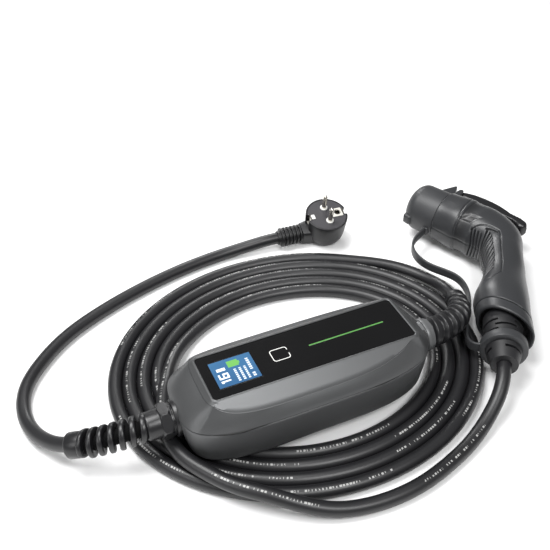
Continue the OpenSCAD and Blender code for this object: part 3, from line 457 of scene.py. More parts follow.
# mains plug: its own frame has z out of the face and x away from the lead
mainsPlug = {
    "place": (69, 133), "dome": 40, "turn": -5, "tilt": 13, "sharp": 32,
    "rows": [(0.05, 0.05), (6, 0.5), (12, 1.9), (16.5, 3.9), (19, 6.2), (20.6, 9.6), (21.3, 13.6),
             (21.4, 14.2), (21.9, 22), (22.4, 30), (22.6, 34.2), (22.4, 34.9), (21.9, 35.2), (21.2, 35.2),
             (20.9, 34.8), (20.8, 33), (12, 17), (0.05, 17)],  # (radius, z), over the rim to the inside
    "face": 34.8, "faceReach": 20.7, "skirt": [(11.8, 17.4), (20.7, 33.2), (20.7, 34.7)],
    "hole": (12, 3.6), "pit": [(3.6, 34.6), (3.58, 30), (3.58, 20.6)],
    "notch": (4.1, 17.4, 14),  # half width, floor, lowest z
    "reliefZ": 12, "neck": [(-12, 11.5, 10.5), (-20, 10.6, 10), (-27.5, 9, 9)], "neckSquare": 0.45,
    "ribs": (6, 4.1, 10.2, 7.5), "ribSteps": (0.5, 0.8, 2.6, 2.9), "exit": -54, "leadHole": 6.4,
    "plate": (11, 6.3, 5.6, 1), "tag": (-15.4, 1.9, 3, 0.5), "tagPole": 0.02,
    "foot": 34.6, "shoulder": 35.1, "top": 35.3, "bevel": 0.2,  # of the plate and the tag
    "faceTone": srgb(57, 56, 59), "plateTone": srgb(224, 222, 214),
}


# turned about x by the tilt, with the dome's middle held, then about z by the turn
def plugPoint(x, y, z):
    c, turn, tilt = mainsPlug, math.radians(mainsPlug["turn"]), math.radians(mainsPlug["tilt"])
    x, y, z = np.broadcast_arrays(x, y, z)
    z = z - c["dome"]
    y, z = y * math.cos(tilt) - z * math.sin(tilt), y * math.sin(tilt) + z * math.cos(tilt)
    return np.stack([c["place"][0] + x * math.cos(turn) - y * math.sin(turn),
                     c["place"][1] + x * math.sin(turn) + y * math.cos(turn), c["dome"] + z], axis=-1) * mm


def notched(c, x, y, z):  # x is held inside the notch's floor on both sides
    half, depth, low = c["notch"]
    return plugPoint(np.where((np.abs(y) < half) & (z > low), np.clip(x, -depth, depth), x), y, z)


# body: circles up its height; face: circles that close in on the earth hole, then the hole itself
def plugShells(c):
    a = around(180)[None, :]
    r, z = np.array(c["rows"]).T[..., None]
    body = surface("plugBody", notched(c, r * np.cos(a), r * np.sin(a), z), "plug_rubber", sharp=c["sharp"])
    holeX, holeR = c["hole"]
    t = np.linspace(0, 1, 14)[:, None]
    closing = [c["faceReach"] + (holeR - c["faceReach"]) * t, 0 * t + c["face"], holeX * t]
    rows = np.concatenate([np.pad(c["skirt"], ((0, 0), (0, 1))), np.concatenate(closing, axis=1),
                           np.pad(c["pit"], ((0, 0), (0, 1)), constant_values=holeX)])
    r, z, middle = rows.T[..., None]
    face = surface("plugFace", notched(c, middle + r * np.cos(a), r * np.sin(a), z), "plug_rubber",
                   sharp=c["sharp"], finish=moulded("plugFaceSatin", c["faceTone"], 0.5))
    return [body, face]


# strain relief: squared rings for the neck, then round ribs, as rows of (x, half width, half height)
def plugRelief(c):
    count, pitch, crown, root = c["ribs"]
    start = c["neck"][-1][0]
    steps = start - pitch * np.repeat(np.arange(count), 4) - np.tile(c["ribSteps"], count)
    sizes = np.tile([root, crown, crown, root], count)
    ending = [(c["exit"], root, root), (c["exit"], c["leadHole"], c["leadHole"])]
    x, wide, tall = np.concatenate([c["neck"], np.stack([steps, sizes, sizes], axis=1), ending]).T[..., None]
    a = around(64)[None, :]
    square = np.where(x >= start, c["neckSquare"], 1.0)
    grid = plugPoint(x, signedPower(np.cos(a), square) * wide,
                     c["reliefZ"] + signedPower(np.sin(a), square) * tall)
    return surface("plugRelief", grid, "plug_rubber", sharp=c["sharp"])


# earth plate: from the hole out to a rounded rectangle; tag: a rounded rectangle closed at its middle
def plugFittings(c):
    mid, halfX, halfY, corner = c["plate"]
    edge, outward = roundedFrame(halfX, halfY, corner, longSide=12, shortSide=10, arc=5)
    edge, hole = edge + [mid, 0], np.array([c["hole"][0], 0])
    inner = hole + unit(edge - hole) * c["hole"][1]
    flat = np.array([inner, inner, edge - outward * c["bevel"], edge, edge])
    z = np.array([c["foot"], c["top"], c["top"], c["shoulder"], c["foot"]])[:, None]
    plate = surface("plugPlate", plugPoint(flat[..., 0], flat[..., 1], z), "nickel", loop=True,
                    finish=moulded("earthPlate", c["plateTone"], 0.4, metallic=0.35))
    mid, halfX, halfY, corner = c["tag"]
    edge, outward = roundedFrame(halfX, halfY, corner, longSide=6, shortSide=6, arc=4)
    flat = np.array([edge, edge, edge - outward * c["bevel"], edge * c["tagPole"]]) + [mid, 0]
    z = np.array([c["foot"], c["shoulder"], c["top"], c["top"]])[:, None]
    return [plate, surface("plugTag", plugPoint(flat[..., 0], flat[..., 1], z), "white_print")]


def makePlug(c):
    shells = plugShells(c) + [plugRelief(c)]
    for piece in shells:
        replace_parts(piece, "plug_body")
    return shells + plugFittings(c)


# supply lead: out of the spiral guard, down to the floor and round to the plug
supplyLead = {
    "diameter": 0.0125, "step": 0.004, "tone": srgb(25, 25, 27), "rough": 0.4,
    "route": [(-246.5, -54.8, 27.6), (-249, -51, 26), (-257, -42, 21), (-266, -29, 15), (-273, -13, 10),
              (-277, 6, 6.8), (-276, 26, 6.4), (-269, 46, 6.4), (-256, 64, 6.4), (-239, 81, 6.4),
              (-219, 96, 6.4), (-195, 109, 6.4), (-167, 121, 6.4), (-135, 132, 6.4), (-101, 141, 6.4),
              (-67, 147, 6.5), (-35, 149, 7.5), (-11, 147, 10.5), (6.8, 144.8, 12.7), (15.7, 144, 12.7)],
    "metal": ("mains_pins", "pin_collars", "earth_clips", "earth_socket"),  # solids that go with it
}


def makeSupplyLead(c, plug):
    path = through(np.array(c["route"]) * mm, c["step"])
    piece = lead("supplyLead", path, c["diameter"] / 2, finish=moulded("leadJacket", c["tone"], c["rough"]))
    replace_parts(piece, "supply_cord")
    plug + [nodes[n] for n in c["metal"]]
    print("supply lead:", round(lengthOf(path), 3), "m")


makeChargingCable(chargingCable)
makeSupplyLead(supplyLead, makePlug(mainsPlug))

# connector: its own frame has x forward along the nose, y from the latch to the handle
gunForm = {
    "place": (181, 98, 29), "turn": 116, "backX": -28, "straight": 23.9, "bendR": 46, "bend": 61,
    "palm": [(-15.8, 25.7), (8, 28), (23.9, 28), (72.9, 20), (98.9, 17), (151.9, 26.5), (179.9, 24)],
    "back": [(-15.8, 25.7), (8, 27.4), (23.9, 26), (50.4, 26.4), (72.9, 21.5), (104.9, 22.7), (151.9, 24.7),
             (179.9, 27)],
    "width": [(-15.8, 25.7), (8, 27.6), (23.9, 27.4), (72.9, 23.6), (104.9, 21), (151.9, 26), (179.9, 24)],
    "square": 0.9, "end": 179.9, "lean": (117, 180, 0.46),
}


def gunPoint(x, y, z):
    g, k = gunForm["place"], math.radians(gunForm["turn"])
    x, y, z = np.broadcast_arrays(x, y, z)
    return np.stack([g[0] + x * math.cos(k) - y * math.sin(k), g[1] + x * math.sin(k) + y * math.cos(k),
                     g[2] + z], axis=-1) * mm


def fromRows(rows, s):  # value at s, eased from row to row
    value = np.full(np.shape(s), float(rows[0][1]))
    for (low, first), (high, last) in zip(rows, rows[1:]):
        value = np.where(s > low, first + (last - first) * easeStep((s - low) / (high - low)), value)
    return value


def gunSpine(s):  # straight, then round the bend, then straight down the handle
    g, bend = gunForm, math.radians(gunForm["bend"])
    turn = np.clip((s - g["straight"]) / g["bendR"], 0, bend)
    late = np.maximum(s - g["straight"] - g["bendR"] * bend, 0)
    x = g["backX"] - np.minimum(s, g["straight"]) - g["bendR"] * np.sin(turn) - late * math.cos(bend)
    return x, g["bendR"] * (1 - np.cos(turn)) + late * math.sin(bend), turn


# skin at s along the spine and angle a, 0 on the palm and 180 degrees on the back:
# spine + depth * cos a across + width * sin a upwards, sheared by the lean of the open end
def gunSkin(s, a, raised=0.0):
    g, (x, y, turn) = gunForm, gunSpine(s)
    across, upward = signedPower(np.cos(a), g["square"]), signedPower(np.sin(a), g["square"])
    depth = (np.where(np.cos(a) > 0, fromRows(g["palm"], s), fromRows(g["back"], s)) + raised) * across
    start, stop, most = g["lean"]
    lean = most * easeStep((s - start) / (stop - start))
    return gunPoint(x + depth * (np.sin(turn) + lean * np.cos(turn)),
                    y + depth * (np.cos(turn) - lean * np.sin(turn)),
                    (fromRows(g["width"], s) + raised) * upward)


# distance on the unrolled skin from each point to a chain of short lines
def nearLine(s, v, points):
    best = np.full(np.broadcast(s, v).shape, np.inf)
    for (x0, y0), (x1, y1) in zip(points, points[1:]):
        t = ((s - x0) * (x1 - x0) + (v - y0) * (y1 - y0)) / ((x1 - x0) ** 2 + (y1 - y0) ** 2)
        t = np.clip(t, 0, 1)
        best = np.minimum(best, np.hypot(s - x0 - t * (x1 - x0), v - y0 - t * (y1 - y0)))
    return best


def nearOne(w, first, pitch, count):  # distance to the nearest of a row of grooves
    return w - first - pitch * np.clip(np.round((w - first) / pitch), 0, count - 1)


def dip(away, depth, wide):  # a rounded groove
    return -depth * np.exp(-(away / wide) ** 2)


# places are (s, degrees from the palm), a dip is (depth, width), a reach is (last degree, fade)
gunMarks = {
    "unroll": 0.42, "slant": 0.33, "slantTo": 45, "crown": 15,  # unroll: mm a degree
    "longGrooves": (30, 6.5, 4), "longDip": (2.2, 1.0), "longReach": (42, 7),
    "teeth": (57, 6.2, 11), "teethDip": (2.9, 2.3), "teethReach": (59, 3),
    "border": [(31, 34), (38, 52), (46, 64), (60, 82), (86, 80), (107, 83), (125, 80), (134, 56), (136, 40)],
    "borderDip": (0.9, 0.6), "slot": [(50, 57), (62, 75)], "slotDip": (2.0, 0.7, 0.6),
    "joint": 10.5, "jointLean": 0.03, "jointDip": (0.8, 0.7),
    "waist": (1.3, 2, 14, 16), "waistReach": (150, 40),  # depth, fall, where it ends, rise
    "cheek": (21.4, 59), "cheekHalf": (9, 14), "cheekLean": 0.4, "cheekDip": (1.0, 0.6),
    "seamDip": (0.45, 0.5),
}


# height of the grip's grooves and marks: each is a dip in the distance from its line
def gunRelief(s, a, c):
    tilt = np.degrees(np.abs(a))
    v = tilt * c["unroll"]

    def within(reach):  # 1 on the palm, fading out at the reach
        return easeStep((reach[0] - tilt) / reach[1])

    w = s - c["slant"] * (c["slantTo"] - np.hypot(tilt, c["crown"]))  # rounded over the palm
    height = dip(nearOne(w, *c["longGrooves"]), *c["longDip"]) * within(c["longReach"])
    depth, half = c["teethDip"]
    height -= depth * (1 - easeStep(np.abs(nearOne(w, *c["teeth"])) / half)) * within(c["teethReach"])
    border, slot = ([(p, q * c["unroll"]) for p, q in c[key]] for key in ("border", "slot"))
    height += dip(nearLine(s, v, border), *c["borderDip"])
    depth, half, fade = c["slotDip"]
    height -= depth * (1 - easeStep((nearLine(s, v, slot) - half) / fade))
    height += dip(s - c["joint"] + c["jointLean"] * tilt, *c["jointDip"])  # front joint
    depth, fall, ending, rise = c["waist"]
    waist = easeStep((s - c["joint"]) / fall) * (1 - easeStep((s - ending) / rise))
    height -= depth * waist * within(c["waistReach"])
    (midS, midTilt), (halfS, halfTilt), (depth, fade) = c["cheek"], c["cheekHalf"], c["cheekDip"]
    ahead, up = s - midS - c["cheekLean"] * (tilt - midTilt), tilt - midTilt
    cheek = np.maximum(np.abs(ahead) / halfS, np.abs(up) / halfTilt)
    height -= depth * easeStep((1 - cheek) / fade)
    side = fromRows(gunForm["width"], s) * np.sin(np.abs(a))
    return height + dip(side, *c["seamDip"])  # seam of the two shells


gunBody = {
    "front": [(-13.5, -3.4), (-15.5, -2.4), (-16, -0.5), (-15.8, -0.1)],  # (s, inset) of the two rims
    "back": [(167.4, -0.6), (167, -2.6), (164, -4)], "run": (-15.3, 167, 0.62), "sharp": 60,
    # groove: colour of the painted shade laid into the grooves, deeper over the depths below
    "tone": srgb(45, 46, 48), "groove": srgb(12, 12, 13), "rough": 0.36, "grain": 0.00005,
    "shadeFrom": 0.3, "shadeOver": 1.4,  # grooves darken over these depths
}


def makeGunBody(c):
    front, back = np.array(c["front"]), np.array(c["back"])
    s = np.concatenate([front[:, 0], np.arange(*c["run"]), back[:, 0]])[:, None]
    raised = np.zeros_like(s)
    raised[:len(front), 0], raised[-len(back):, 0] = front[:, 1], back[:, 1]
    a = around(268)[None, :] - np.pi
    relief = gunRelief(s, a, gunMarks) * (raised == 0)
    # painted shade: the deeper the relief, the more of the groove colour, carried in the map's u
    deep = np.clip((-relief - c["shadeFrom"]) / c["shadeOver"], 0, 1)
    deep = np.concatenate([deep, deep[:, :1]], axis=1)
    satinWithGrooveShade = moulded("gunGripSatinGrooveShade", c["tone"], c["rough"], c["grain"], groove=c["groove"])
    piece = surface("gunBody", gunSkin(s, a, raised + relief), "gun_grey", uv=np.stack([deep, deep], axis=-1),
                    sharp=c["sharp"], finish=satinWithGrooveShade)
    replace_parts(piece, "gun_left_shell", "gun_right_shell")


# open end: a ring of skin and a dark cup inside it, rows of (s, inset)
gunEnd = {
    "ring": [(168.6, -2.4), (168.2, -0.7), (168.7, -0.1), (170, 0), (174, 0), (178, 0), (179.2, -0.15),
             (179.9, -0.8), (180.1, -1.5), (179.8, -2.3), (179, -2.8), (174, -2.8), (170, -2.8)],
    "cup": [(168, -3), (174, -3), (178.4, -3), (178.8, -3.4), (178.4, -3.8), (174, -3.8),
            (170.5, -4), (170, -5)],
}


def makeGunEnd(c):
    a = around(144)[None, :]
    for name, slot, loop in (("ring", "gun_grey", True), ("cup", "soft_black", False)):
        rows = np.array(c[name], dtype=float)
        piece = surface("gunEnd" + name.title(), gunSkin(rows[:, :1], a, rows[:, 1:]), slot, loop=loop)
        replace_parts(piece, "gun_tail_ring")


# a bar along the connector: at each x the section is a squared ellipse between low and high
def bar(name, x, low, high, zMid, zHalf, slot, square=0.3, body="charger", soft=2.0, tip=0.2):
    values = np.broadcast_arrays(x, low, high, zHalf)
    x, low, high, zHalf = (np.array(v, dtype=float)[:, None] for v in values)
    end = np.minimum(np.abs(x - x[0]), np.abs(x - x[-1])) / soft
    full = np.sqrt(np.clip(1 - (1 - np.clip(end, 0, 1)) ** 2, tip, 1))  # rounded ends
    a = around(40)
    y = (low + high) / 2 + (high - low) / 2 * full * signedPower(np.cos(a), square)
    z = zMid + zHalf * full * signedPower(np.sin(a), square)
    return surface(name, gunPoint(x, y, z), slot, body=body)


def stepsOver(rows, count):  # even steps of x from the first row to the last
    return np.linspace(rows[0][0], rows[-1][0], count)


def straight(rows, x):  # value at x, straight from row to row
    return np.interp(x, *np.transpose(rows))


# lever with a ribbed thumb end, in mm of the connector's x and y
leverBar = {
    "top": [(-92, -33.6), (-91.4, -35.8), (-89.6, -38.4), (-87, -40.2), (-83.5, -41.4), (-79, -41.6),
            (-74, -41.2), (-69, -41.4), (-62, -44.4), (-53, -47.2), (-44, -48.6), (-34, -49.2),
            (-22, -48.4), (-14, -46), (-8, -43), (-5, -40.6)],
    "low": [(-92, -32.4), (-91.4, -30), (-89.6, -27.9), (-87, -26.9), (-84, -27.2), (-80, -29.8),
            (-74, -32.4), (-14, -37.2), (-8, -38.2), (-5, -39.6)],
    "square": [(-92, 0.85), (-82, 0.6), (-70, 0.32)], "half": 7.5, "soft": 4,
    "ribs": (-70, -73.5, -77, -80.5), "rib": (0.6, 1.1),
}


def makeLever(c):
    x = stepsOver(c["top"], 140)
    top = straight(c["top"], x)
    for rib in c["ribs"]:
        top += dip(x - rib, *c["rib"])  # outwards is towards lower y
    piece = bar("leverBar", x, straight(c["low"], x), top, 0, c["half"], "lever_black",
                square=straight(c["square"], x)[:, None], body="lever", soft=c["soft"])
    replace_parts(piece, "release_lever")


# rails beside the lever, ears round its pin, and the latch's fin
leverRails = {
    "top": [(-84, -18), (-82, -19.6), (-60, -27.6), (-29, -29.6)], "low": [(-84, -8), (-60, -20), (-29, -22)],
    "ear": [(-13, -34), (-12, -39), (-10.8, -42), (-9, -42.8), (-7.2, -42), (-6, -39), (-5, -34)],
    "earFoot": -22, "earSquare": 0.4, "at": 9.8, "half": 1.5,
}
latchFin = {
    "top": [(-24, -32), (-18, -33.6), (-16, -35.6), (-14.2, -35.6), (-12.5, -34), (-4.6, -34.2), (-3.4, -37),
            (-1, -44), (1.8, -52), (3, -54.4), (4, -55), (5, -54.4), (8.6, -46.4), (11.6, -39.4), (14, -33)],
    "low": [(-24, -29), (-18, -28.3), (14, -29.5)], "half": 5, "square": 0.4,
}


def makeLeverRails(c):
    for name, side in (("railUp", 1), ("railDown", -1)):
        x = stepsOver(c["top"], 50)
        bar(name, x, straight(c["low"], x), straight(c["top"], x), side * c["at"], c["half"], "gun_grey")
    for name, side in (("earUp", 1), ("earDown", -1)):
        x = stepsOver(c["ear"], 30)
        piece = bar(name, x, c["earFoot"], straight(c["ear"], x), side * c["at"], c["half"], "gun_grey",
                    square=c["earSquare"])
        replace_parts(piece, "nose_housing")


def makeLatchFin(c):
    x = stepsOver(c["top"], 130)
    piece = bar("latchFin", x, straight(c["low"], x), straight(c["top"], x), 0, c["half"], "gun_grey",
                square=c["square"], body="latch")
    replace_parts(piece, "latch_hook")


# lever spring: a wire wound round a line from the back of the body up to the lever
leverSpring = {"x": -50, "foot": -25.8, "top": -33.2, "radius": 2.5, "wire": 0.45, "turns": 4, "keep": 0.58}


def makeLeverSpring(c):
    t = np.linspace(0, 1, 96)[:, None]
    turn, k = 2 * np.pi * c["turns"] * t, around(10)[None, :]
    r = c["radius"] + c["wire"] * np.cos(k)
    y = c["foot"] + (c["top"] - c["foot"]) * t + c["wire"] * np.sin(k)
    piece = surface("leverSpring", gunPoint(c["x"] + r * np.cos(turn), y, r * np.sin(turn)), "screw_steel")
    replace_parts(piece, "latch_spring")
    foot, top = gunPoint(c["x"], c["foot"], 0), gunPoint(c["x"], c["top"], 0)
    tuple(unit(top - foot))
    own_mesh(piece)


# rows of (x, radius) turned about the nose's axis
def noseTurned(name, rows, slot, body="charger"):
    start = gunPoint(0, 0, 0)
    return surface(name, turned(start, gunPoint(1, 0, 0) - start, np.array(rows) * mm, 96), slot, body=body)


# nose that enters the inlet: a tube with a floor
noseTube = {"rows": [(-16, 0.05), (-16, 20), (-16, 24.8), (-12.2, 24.8), (-12, 24.5), (-12, 22.1),
                     (-11.6, 22), (16.2, 22), (17.4, 21.5), (18, 20.4), (18, 19.4), (17.6, 19),
                     (-9.6, 19), (-10, 18.6), (-10, 0.05)]}


def makeNose(c):
    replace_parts(noseTurned("noseTube", c["rows"], "gun_grey"), "nose_housing")


# dust cap: a turned cup, from the middle of its inside round to the middle of its dome, with a tab and a lug
dustCap = {
    "inside": [(23, 0.05), (23, 11), (22.6, 12.2), (18.6, 21.4), (18, 22.35), (-10.4, 22.35), (-11.1, 22.6),
               (-11.4, 23.2), (-11.5, 24.9), (-11.3, 25.25), (-10.8, 25.35), (4, 25.35)],
    "radius": 25.35, "domeR": 17, "domeL": 13.5, "tip": 26.6, "pole": [(26.8, 4), (26.85, 0.05)],
    "tab": [(12.5, 26), (16, 27.4), (23.4, 26)], "tabFoot": 14, "tabZ": (-4, 5.6), "tabSquare": 0.5,
    "lug": [(-9, 26.95), (-1, 26.95)], "lugFoot": 20, "lugZ": (-8, 4.5),
}


def makeDustCap(c):
    t = np.radians(np.arange(0, 91, 4.5))
    x, r = c["tip"] - c["domeL"] * (1 - np.sin(t)), c["radius"] - c["domeR"] * (1 - np.cos(t))
    rows = np.concatenate([c["inside"], np.stack([x, r], axis=1), c["pole"]])
    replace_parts(noseTurned("dustCap", rows, "cap_rubber", body="cap"), "dust_cap")
    x = stepsOver(c["tab"], 24)
    bar("capTab", x, c["tabFoot"], straight(c["tab"], x), *c["tabZ"], "cap_rubber",
        square=c["tabSquare"], body="cap")
    x = stepsOver(c["lug"], 20)
    bar("capLug", x, c["lugFoot"], straight(c["lug"], x), *c["lugZ"], "cap_rubber", body="cap")


# strap: a flat band with rounded edges on a given route, and the ring that holds it on the strain relief
capStrap = {
    "root": [(-5, 24, -8), (-5, 27.25, -8), (-5, 31.95, -8)],  # on the cap's lug
    "route": [(147, 76, 20), (139, 70, 19), (133, 60, 18), (131, 47, 18), (134, 33, 18), (143, 18, 18),
              (150, 2, 18), (149, -13, 17), (142, -28, 17), (133, -41, 17), (123, -53, 18), (113, -65, 20),
              (105, -78, 23), (104, -88, 26), (110, -95, 29)],
    "step": 0.0015, "thick": 2.6, "wide": 9, "thickSquare": 0.4, "wideSquare": 0.3,
    "bendFrom": (0.150, 0.076, 0.020), "bendTo": (0.147, -0.020, 0.018),
    "ring": [(20.5, 15.5), (20.5, 20), (20.8, 20.7), (21.5, 21), (28.5, 21), (29.2, 20.7), (29.5, 20),
             (29.5, 15.5), (29, 14.2), (21, 14.2)],
}


def gunTail():  # the middle of the open end and its direction
    x, y, turn = (float(v) for v in gunSpine(np.array(gunForm["end"])))
    start = gunPoint(x, y, 0)
    return start, gunPoint(x - math.cos(turn), y + math.sin(turn), 0) - start


def makeCapStrap(c):
    root = gunPoint(*np.transpose(np.array(c["root"], float)))
    path = through(np.concatenate([root, np.array(c["route"]) * mm]), c["step"])
    _, side, rise = frames(path)
    a = around(32)
    thick = c["thick"] / 2 * mm * signedPower(np.cos(a), c["thickSquare"])
    wide = c["wide"] / 2 * mm * signedPower(np.sin(a), c["wideSquare"])
    grid = path[:, None] + side[:, None] * thick[:, None] + rise[:, None] * wide[:, None]
    band = surface("capStrap", grid, "cap_rubber", body=None)
    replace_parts(band, "cap_strap")
    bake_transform(band)
    ring = surface("tetherRing", turned(*gunTail(), np.array(c["ring"]) * mm, 96), "cap_rubber", loop=True)
    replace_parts(ring, "cap_strap")


makeGunBody(gunBody)
makeGunEnd(gunEnd)
makeLever(leverBar)
makeLeverRails(leverRails)
makeLatchFin(latchFin)
makeLeverSpring(leverSpring)
makeNose(noseTube)
makeDustCap(dustCap)
makeCapStrap(capStrap)
print("connector made")

# spiral guard: hexagon nut, a band wound round a cubic curve, and an end sleeve, from the box's middle in mm
glandAt = np.array((-53, -68, 38.8))
spiralGuard = {
    "ends": [(-139, 0, 0), (-164, 0, 0), (-180, 6, -6), (-196, 17, -12.8)],
    "nut": (-119.4, -140.2), "mouths": (9.5, 7), "flats": 26.8, "hexEnd": 0.42, "hexTurn": 0.15,
    "chamfer": (0.3, 1.6, 4, 0.7),  # lowest, rise, steepness, roundness at the sleeve's side
    "round": 12.3, "taper": 0.9, "lip": (1.6, 0.9),  # the nut's round sleeve
    "turns": 6.5, "tail": 0.82, "winding": 8.9, "band": (3.1, 2.7, 2.1), "bandSquare": 0.6,
    # the core's tone is near black: painted shade inside the spiral
    "core": 6.3, "coreFrom": -0.05, "coreShadeTone": srgb(11, 11, 12),
    "ring": [(-106, 8), (-106, 14.2), (-112, 14.2), (-112.2, 15), (-116.4, 15.2), (-117, 14.8),
             (-117.2, 12.8), (-118.2, 12.8), (-118.4, 13.6), (-119.6, 13.6), (-119.8, 12), (-119.8, 8)],
    "sleeve": [(0.4, 6.4), (0, 9.6), (0.5, 10.5), (1.2, 10.8), (12.2, 10.8), (13.2, 10.5), (13.8, 9.6),
               (13.4, 6.4)],
    "sleeveAt": (0.8, 0.88, 0.92),  # shares of the curve: its start, and two that give its direction
}


def curveFrames(ends, t):  # points of a cubic curve, and its directions there
    point = cubic(ends, t)
    return (point, *frames(point))


# nut: the hexagon's radius held under a chamfer at both ends, then a round sleeve
def guardNut(c):
    hexEnd, (x0, x1) = c["hexEnd"], c["nut"]
    t = np.concatenate([[0], np.linspace(0, hexEnd, 30), np.linspace(hexEnd + 0.001, 1, 24), [1]])[:, None]
    a = around(144)[None, :]
    hexagon = c["flats"] / 2 / np.cos((a + c["hexTurn"]) % (math.pi / 3) - math.pi / 6)
    h = t / hexEnd
    lowest, rise, steep, roundness = c["chamfer"]
    limit = np.minimum(h * steep, 1) * np.clip((1 - h) * steep, 0, 1) ** roundness
    deep, start = c["lip"]
    sleeve = c["round"] - c["taper"] * t ** 2 - deep * np.clip((t - start) / (1 - start), 0, 1) ** 2
    r = np.where(h <= 1, np.minimum(hexagon, c["flats"] / 2 + lowest + rise * limit), sleeve + 0 * a)
    r[0], r[-1] = c["mouths"]
    grid = np.stack(np.broadcast_arrays(x0 + (x1 - x0) * t, r * np.cos(a), r * np.sin(a)), axis=-1)
    return surface("spiralNut", (glandAt + grid) * mm, "nylon", sharp=25)


# band: a squared section carried round the curve at the winding's radius
def guardBand(c):
    point, along, side, rise = curveFrames(c["ends"], evenly(c["ends"], 360, 0, c["tail"]))
    turn = (2 * np.pi * c["turns"] * np.linspace(0, 1, 360))[:, None]
    outward = np.cos(turn) * side + np.sin(turn) * rise
    k, (tall, first, last) = around(24), c["band"]
    high = c["winding"] + tall * signedPower(np.cos(k), c["bandSquare"])[:, None]
    thick = np.linspace(first, last, 360)[:, None, None] * signedPower(np.sin(k), c["bandSquare"])[:, None]
    grid = point[:, None] + outward[:, None] * high + along[:, None] * thick
    return surface("spiralBand", (glandAt + grid) * mm, "nylon")


# the lead inside the spiral, in a near-black matt finish: painted shade seen between the band's turns
def guardCore(c):  # a plain round core along the curve
    point, _, side, rise = curveFrames(c["ends"], np.linspace(c["coreFrom"], 1, 60))
    core = point[:, None] + c["core"] * ringOf(around(32), side, rise)
    return surface("spiralCore", (glandAt + core) * mm, "nylon",
                   finish=moulded("spiralShade", c["coreShadeTone"], 0.8, shine=0.1))


def makeSpiralGuard(c):
    ring = turned(glandAt, (1, 0, 0), c["ring"], 72)
    first, back, ahead = cubic(c["ends"], c["sleeveAt"])
    sleeve = turned(glandAt + first, ahead - back, c["sleeve"], 64)
    pieces = [guardNut(c), surface("spiralRing", ring * mm, "nylon", loop=True), guardBand(c), guardCore(c),
              surface("spiralSleeve", sleeve * mm, "nylon", loop=True)]
    for piece in pieces:
        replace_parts(piece, "spiral_nut")


# outlet boot: rings that wind round a cubic curve, radius = taper less a groove where the winding is low
outletBoot = {
    "ends": [(118.6, 0, 0), (148, 0, 0), (174, 16, -9), (180, 45, -16.5)], "taper": (13.9, 9.8), "rings": 8.4,
    "groove": 3.6, "gap": 0.3, "smooth": (0.93, 0.04), "mouth": (0.995, 8), "sharp": 60,
}


def makeOutletBoot(c):
    t = np.linspace(0, 1, 300)[:, None]
    point, _, side, rise = curveFrames(c["ends"], evenly(c["ends"], 300))
    a = around(72)
    winding = (t * c["rings"] - a / (2 * np.pi)) % 1
    ring = easeStep((0.5 - np.abs(winding - 0.5)) / c["gap"])
    late = easeStep((t - c["smooth"][0]) / c["smooth"][1])  # a plain end
    first, last = c["taper"]
    r = first + (last - first) * t - c["groove"] * (1 - ring) * (1 - late)
    r = np.where(t > c["mouth"][0], c["mouth"][1], r)
    grid = point[:, None] + r[..., None] * ringOf(a, side, rise)
    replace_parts(surface("outletBoot", (glandAt + grid) * mm, "nylon", sharp=c["sharp"]), "outlet_boot")


# outlet collar: a short turned ring with a tab under it, the tab a squared ellipsoid
outletCollar = {
    "rows": [(104, 9), (104, 13), (111.6, 14), (112, 14.9), (112.8, 15.2), (115.6, 15.2), (116.2, 14.9),
             (116.4, 14.2), (118.6, 14.2), (119.2, 13.9), (119.4, 13), (119.4, 9)],
    "tab": ((112, 118), (-6, 6), (-19, -12)), "square": 0.3, "poles": 1.5,
}


def makeOutletCollar(c):
    grid = turned(glandAt, (1, 0, 0), c["rows"], 96) * mm
    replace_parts(surface("outletCollar", grid, "collar_grey", loop=True), "outlet_collar")
    low, high = np.transpose(c["tab"]).astype(float)
    a, b = around(32)[None, :], np.linspace(-c["poles"], c["poles"], 24)[:, None]
    waves = (np.cos(a), np.sin(a), np.cos(b), np.sin(b))
    cosA, sinA, cosB, sinB = (signedPower(wave, c["square"]) for wave in waves)
    ball = np.stack(np.broadcast_arrays(cosB * cosA, cosB * sinA, sinB), axis=-1)
    grid = glandAt + (low + high) / 2 + ball * (high - low) / 2
    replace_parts(surface("collarTab", grid * mm, "collar_grey"), "outlet_collar")


makeSpiralGuard(spiralGuard)
makeOutletCollar(outletCollar)
makeOutletBoot(outletBoot)
print("gland and boot made")

# lid of the control box: rows from the parting line over the crest and up the slope to the rim of the panel;
# an oval is (half length, half width, power) for the outlet end and for the supply end
boxAt = np.array((-53, -68, 12.8))
boxOutline = [(108.5, 46, 3.1), (115, 46, 3.9)]
lidShell = {
    "low": 38.7, "top": 58, "panel": (89.15, 23.65, 3.15), "rim": 2.6, "bead": 0.8, "beadTurn": 2.6,
    "sill": 1.7, "crest": [(95.5, 39.5, 2.8), (95.5, 39.5, 4.6)], "crestRoom": 1.2,
    "crestSoft": 0.6, "slope": 0.74, "bow": [(106, 44.7, 2.8), (111.6, 44.7, 2.9)],
    "bowHeight": 0.47,  # a slope row is (share, dip)
    "slopeRows": [(0.03, 0.45), (0.06, 0.45), (0.09, 0), (0.3, 0), (0.6, 0), (0.9, 0), (1, 0)],
}


# radius of an oval |x/A|^n + |y/B|^n = 1 in a direction, one shape for each end
def ovalReach(direction, shapes):
    ahead = direction[:, :1] > 0
    halfX, halfY, n = (np.where(ahead, shapes[0][k], shapes[1][k]) for k in range(3))
    return (np.abs(direction[:, :1] / halfX) ** n + np.abs(direction[:, 1:] / halfY) ** n) ** (-1 / n)


def quadratic(first, middle, last, t):  # a curve by its three ends
    return (1 - t) ** 2 * first + 2 * t * (1 - t) * middle + t ** 2 * last


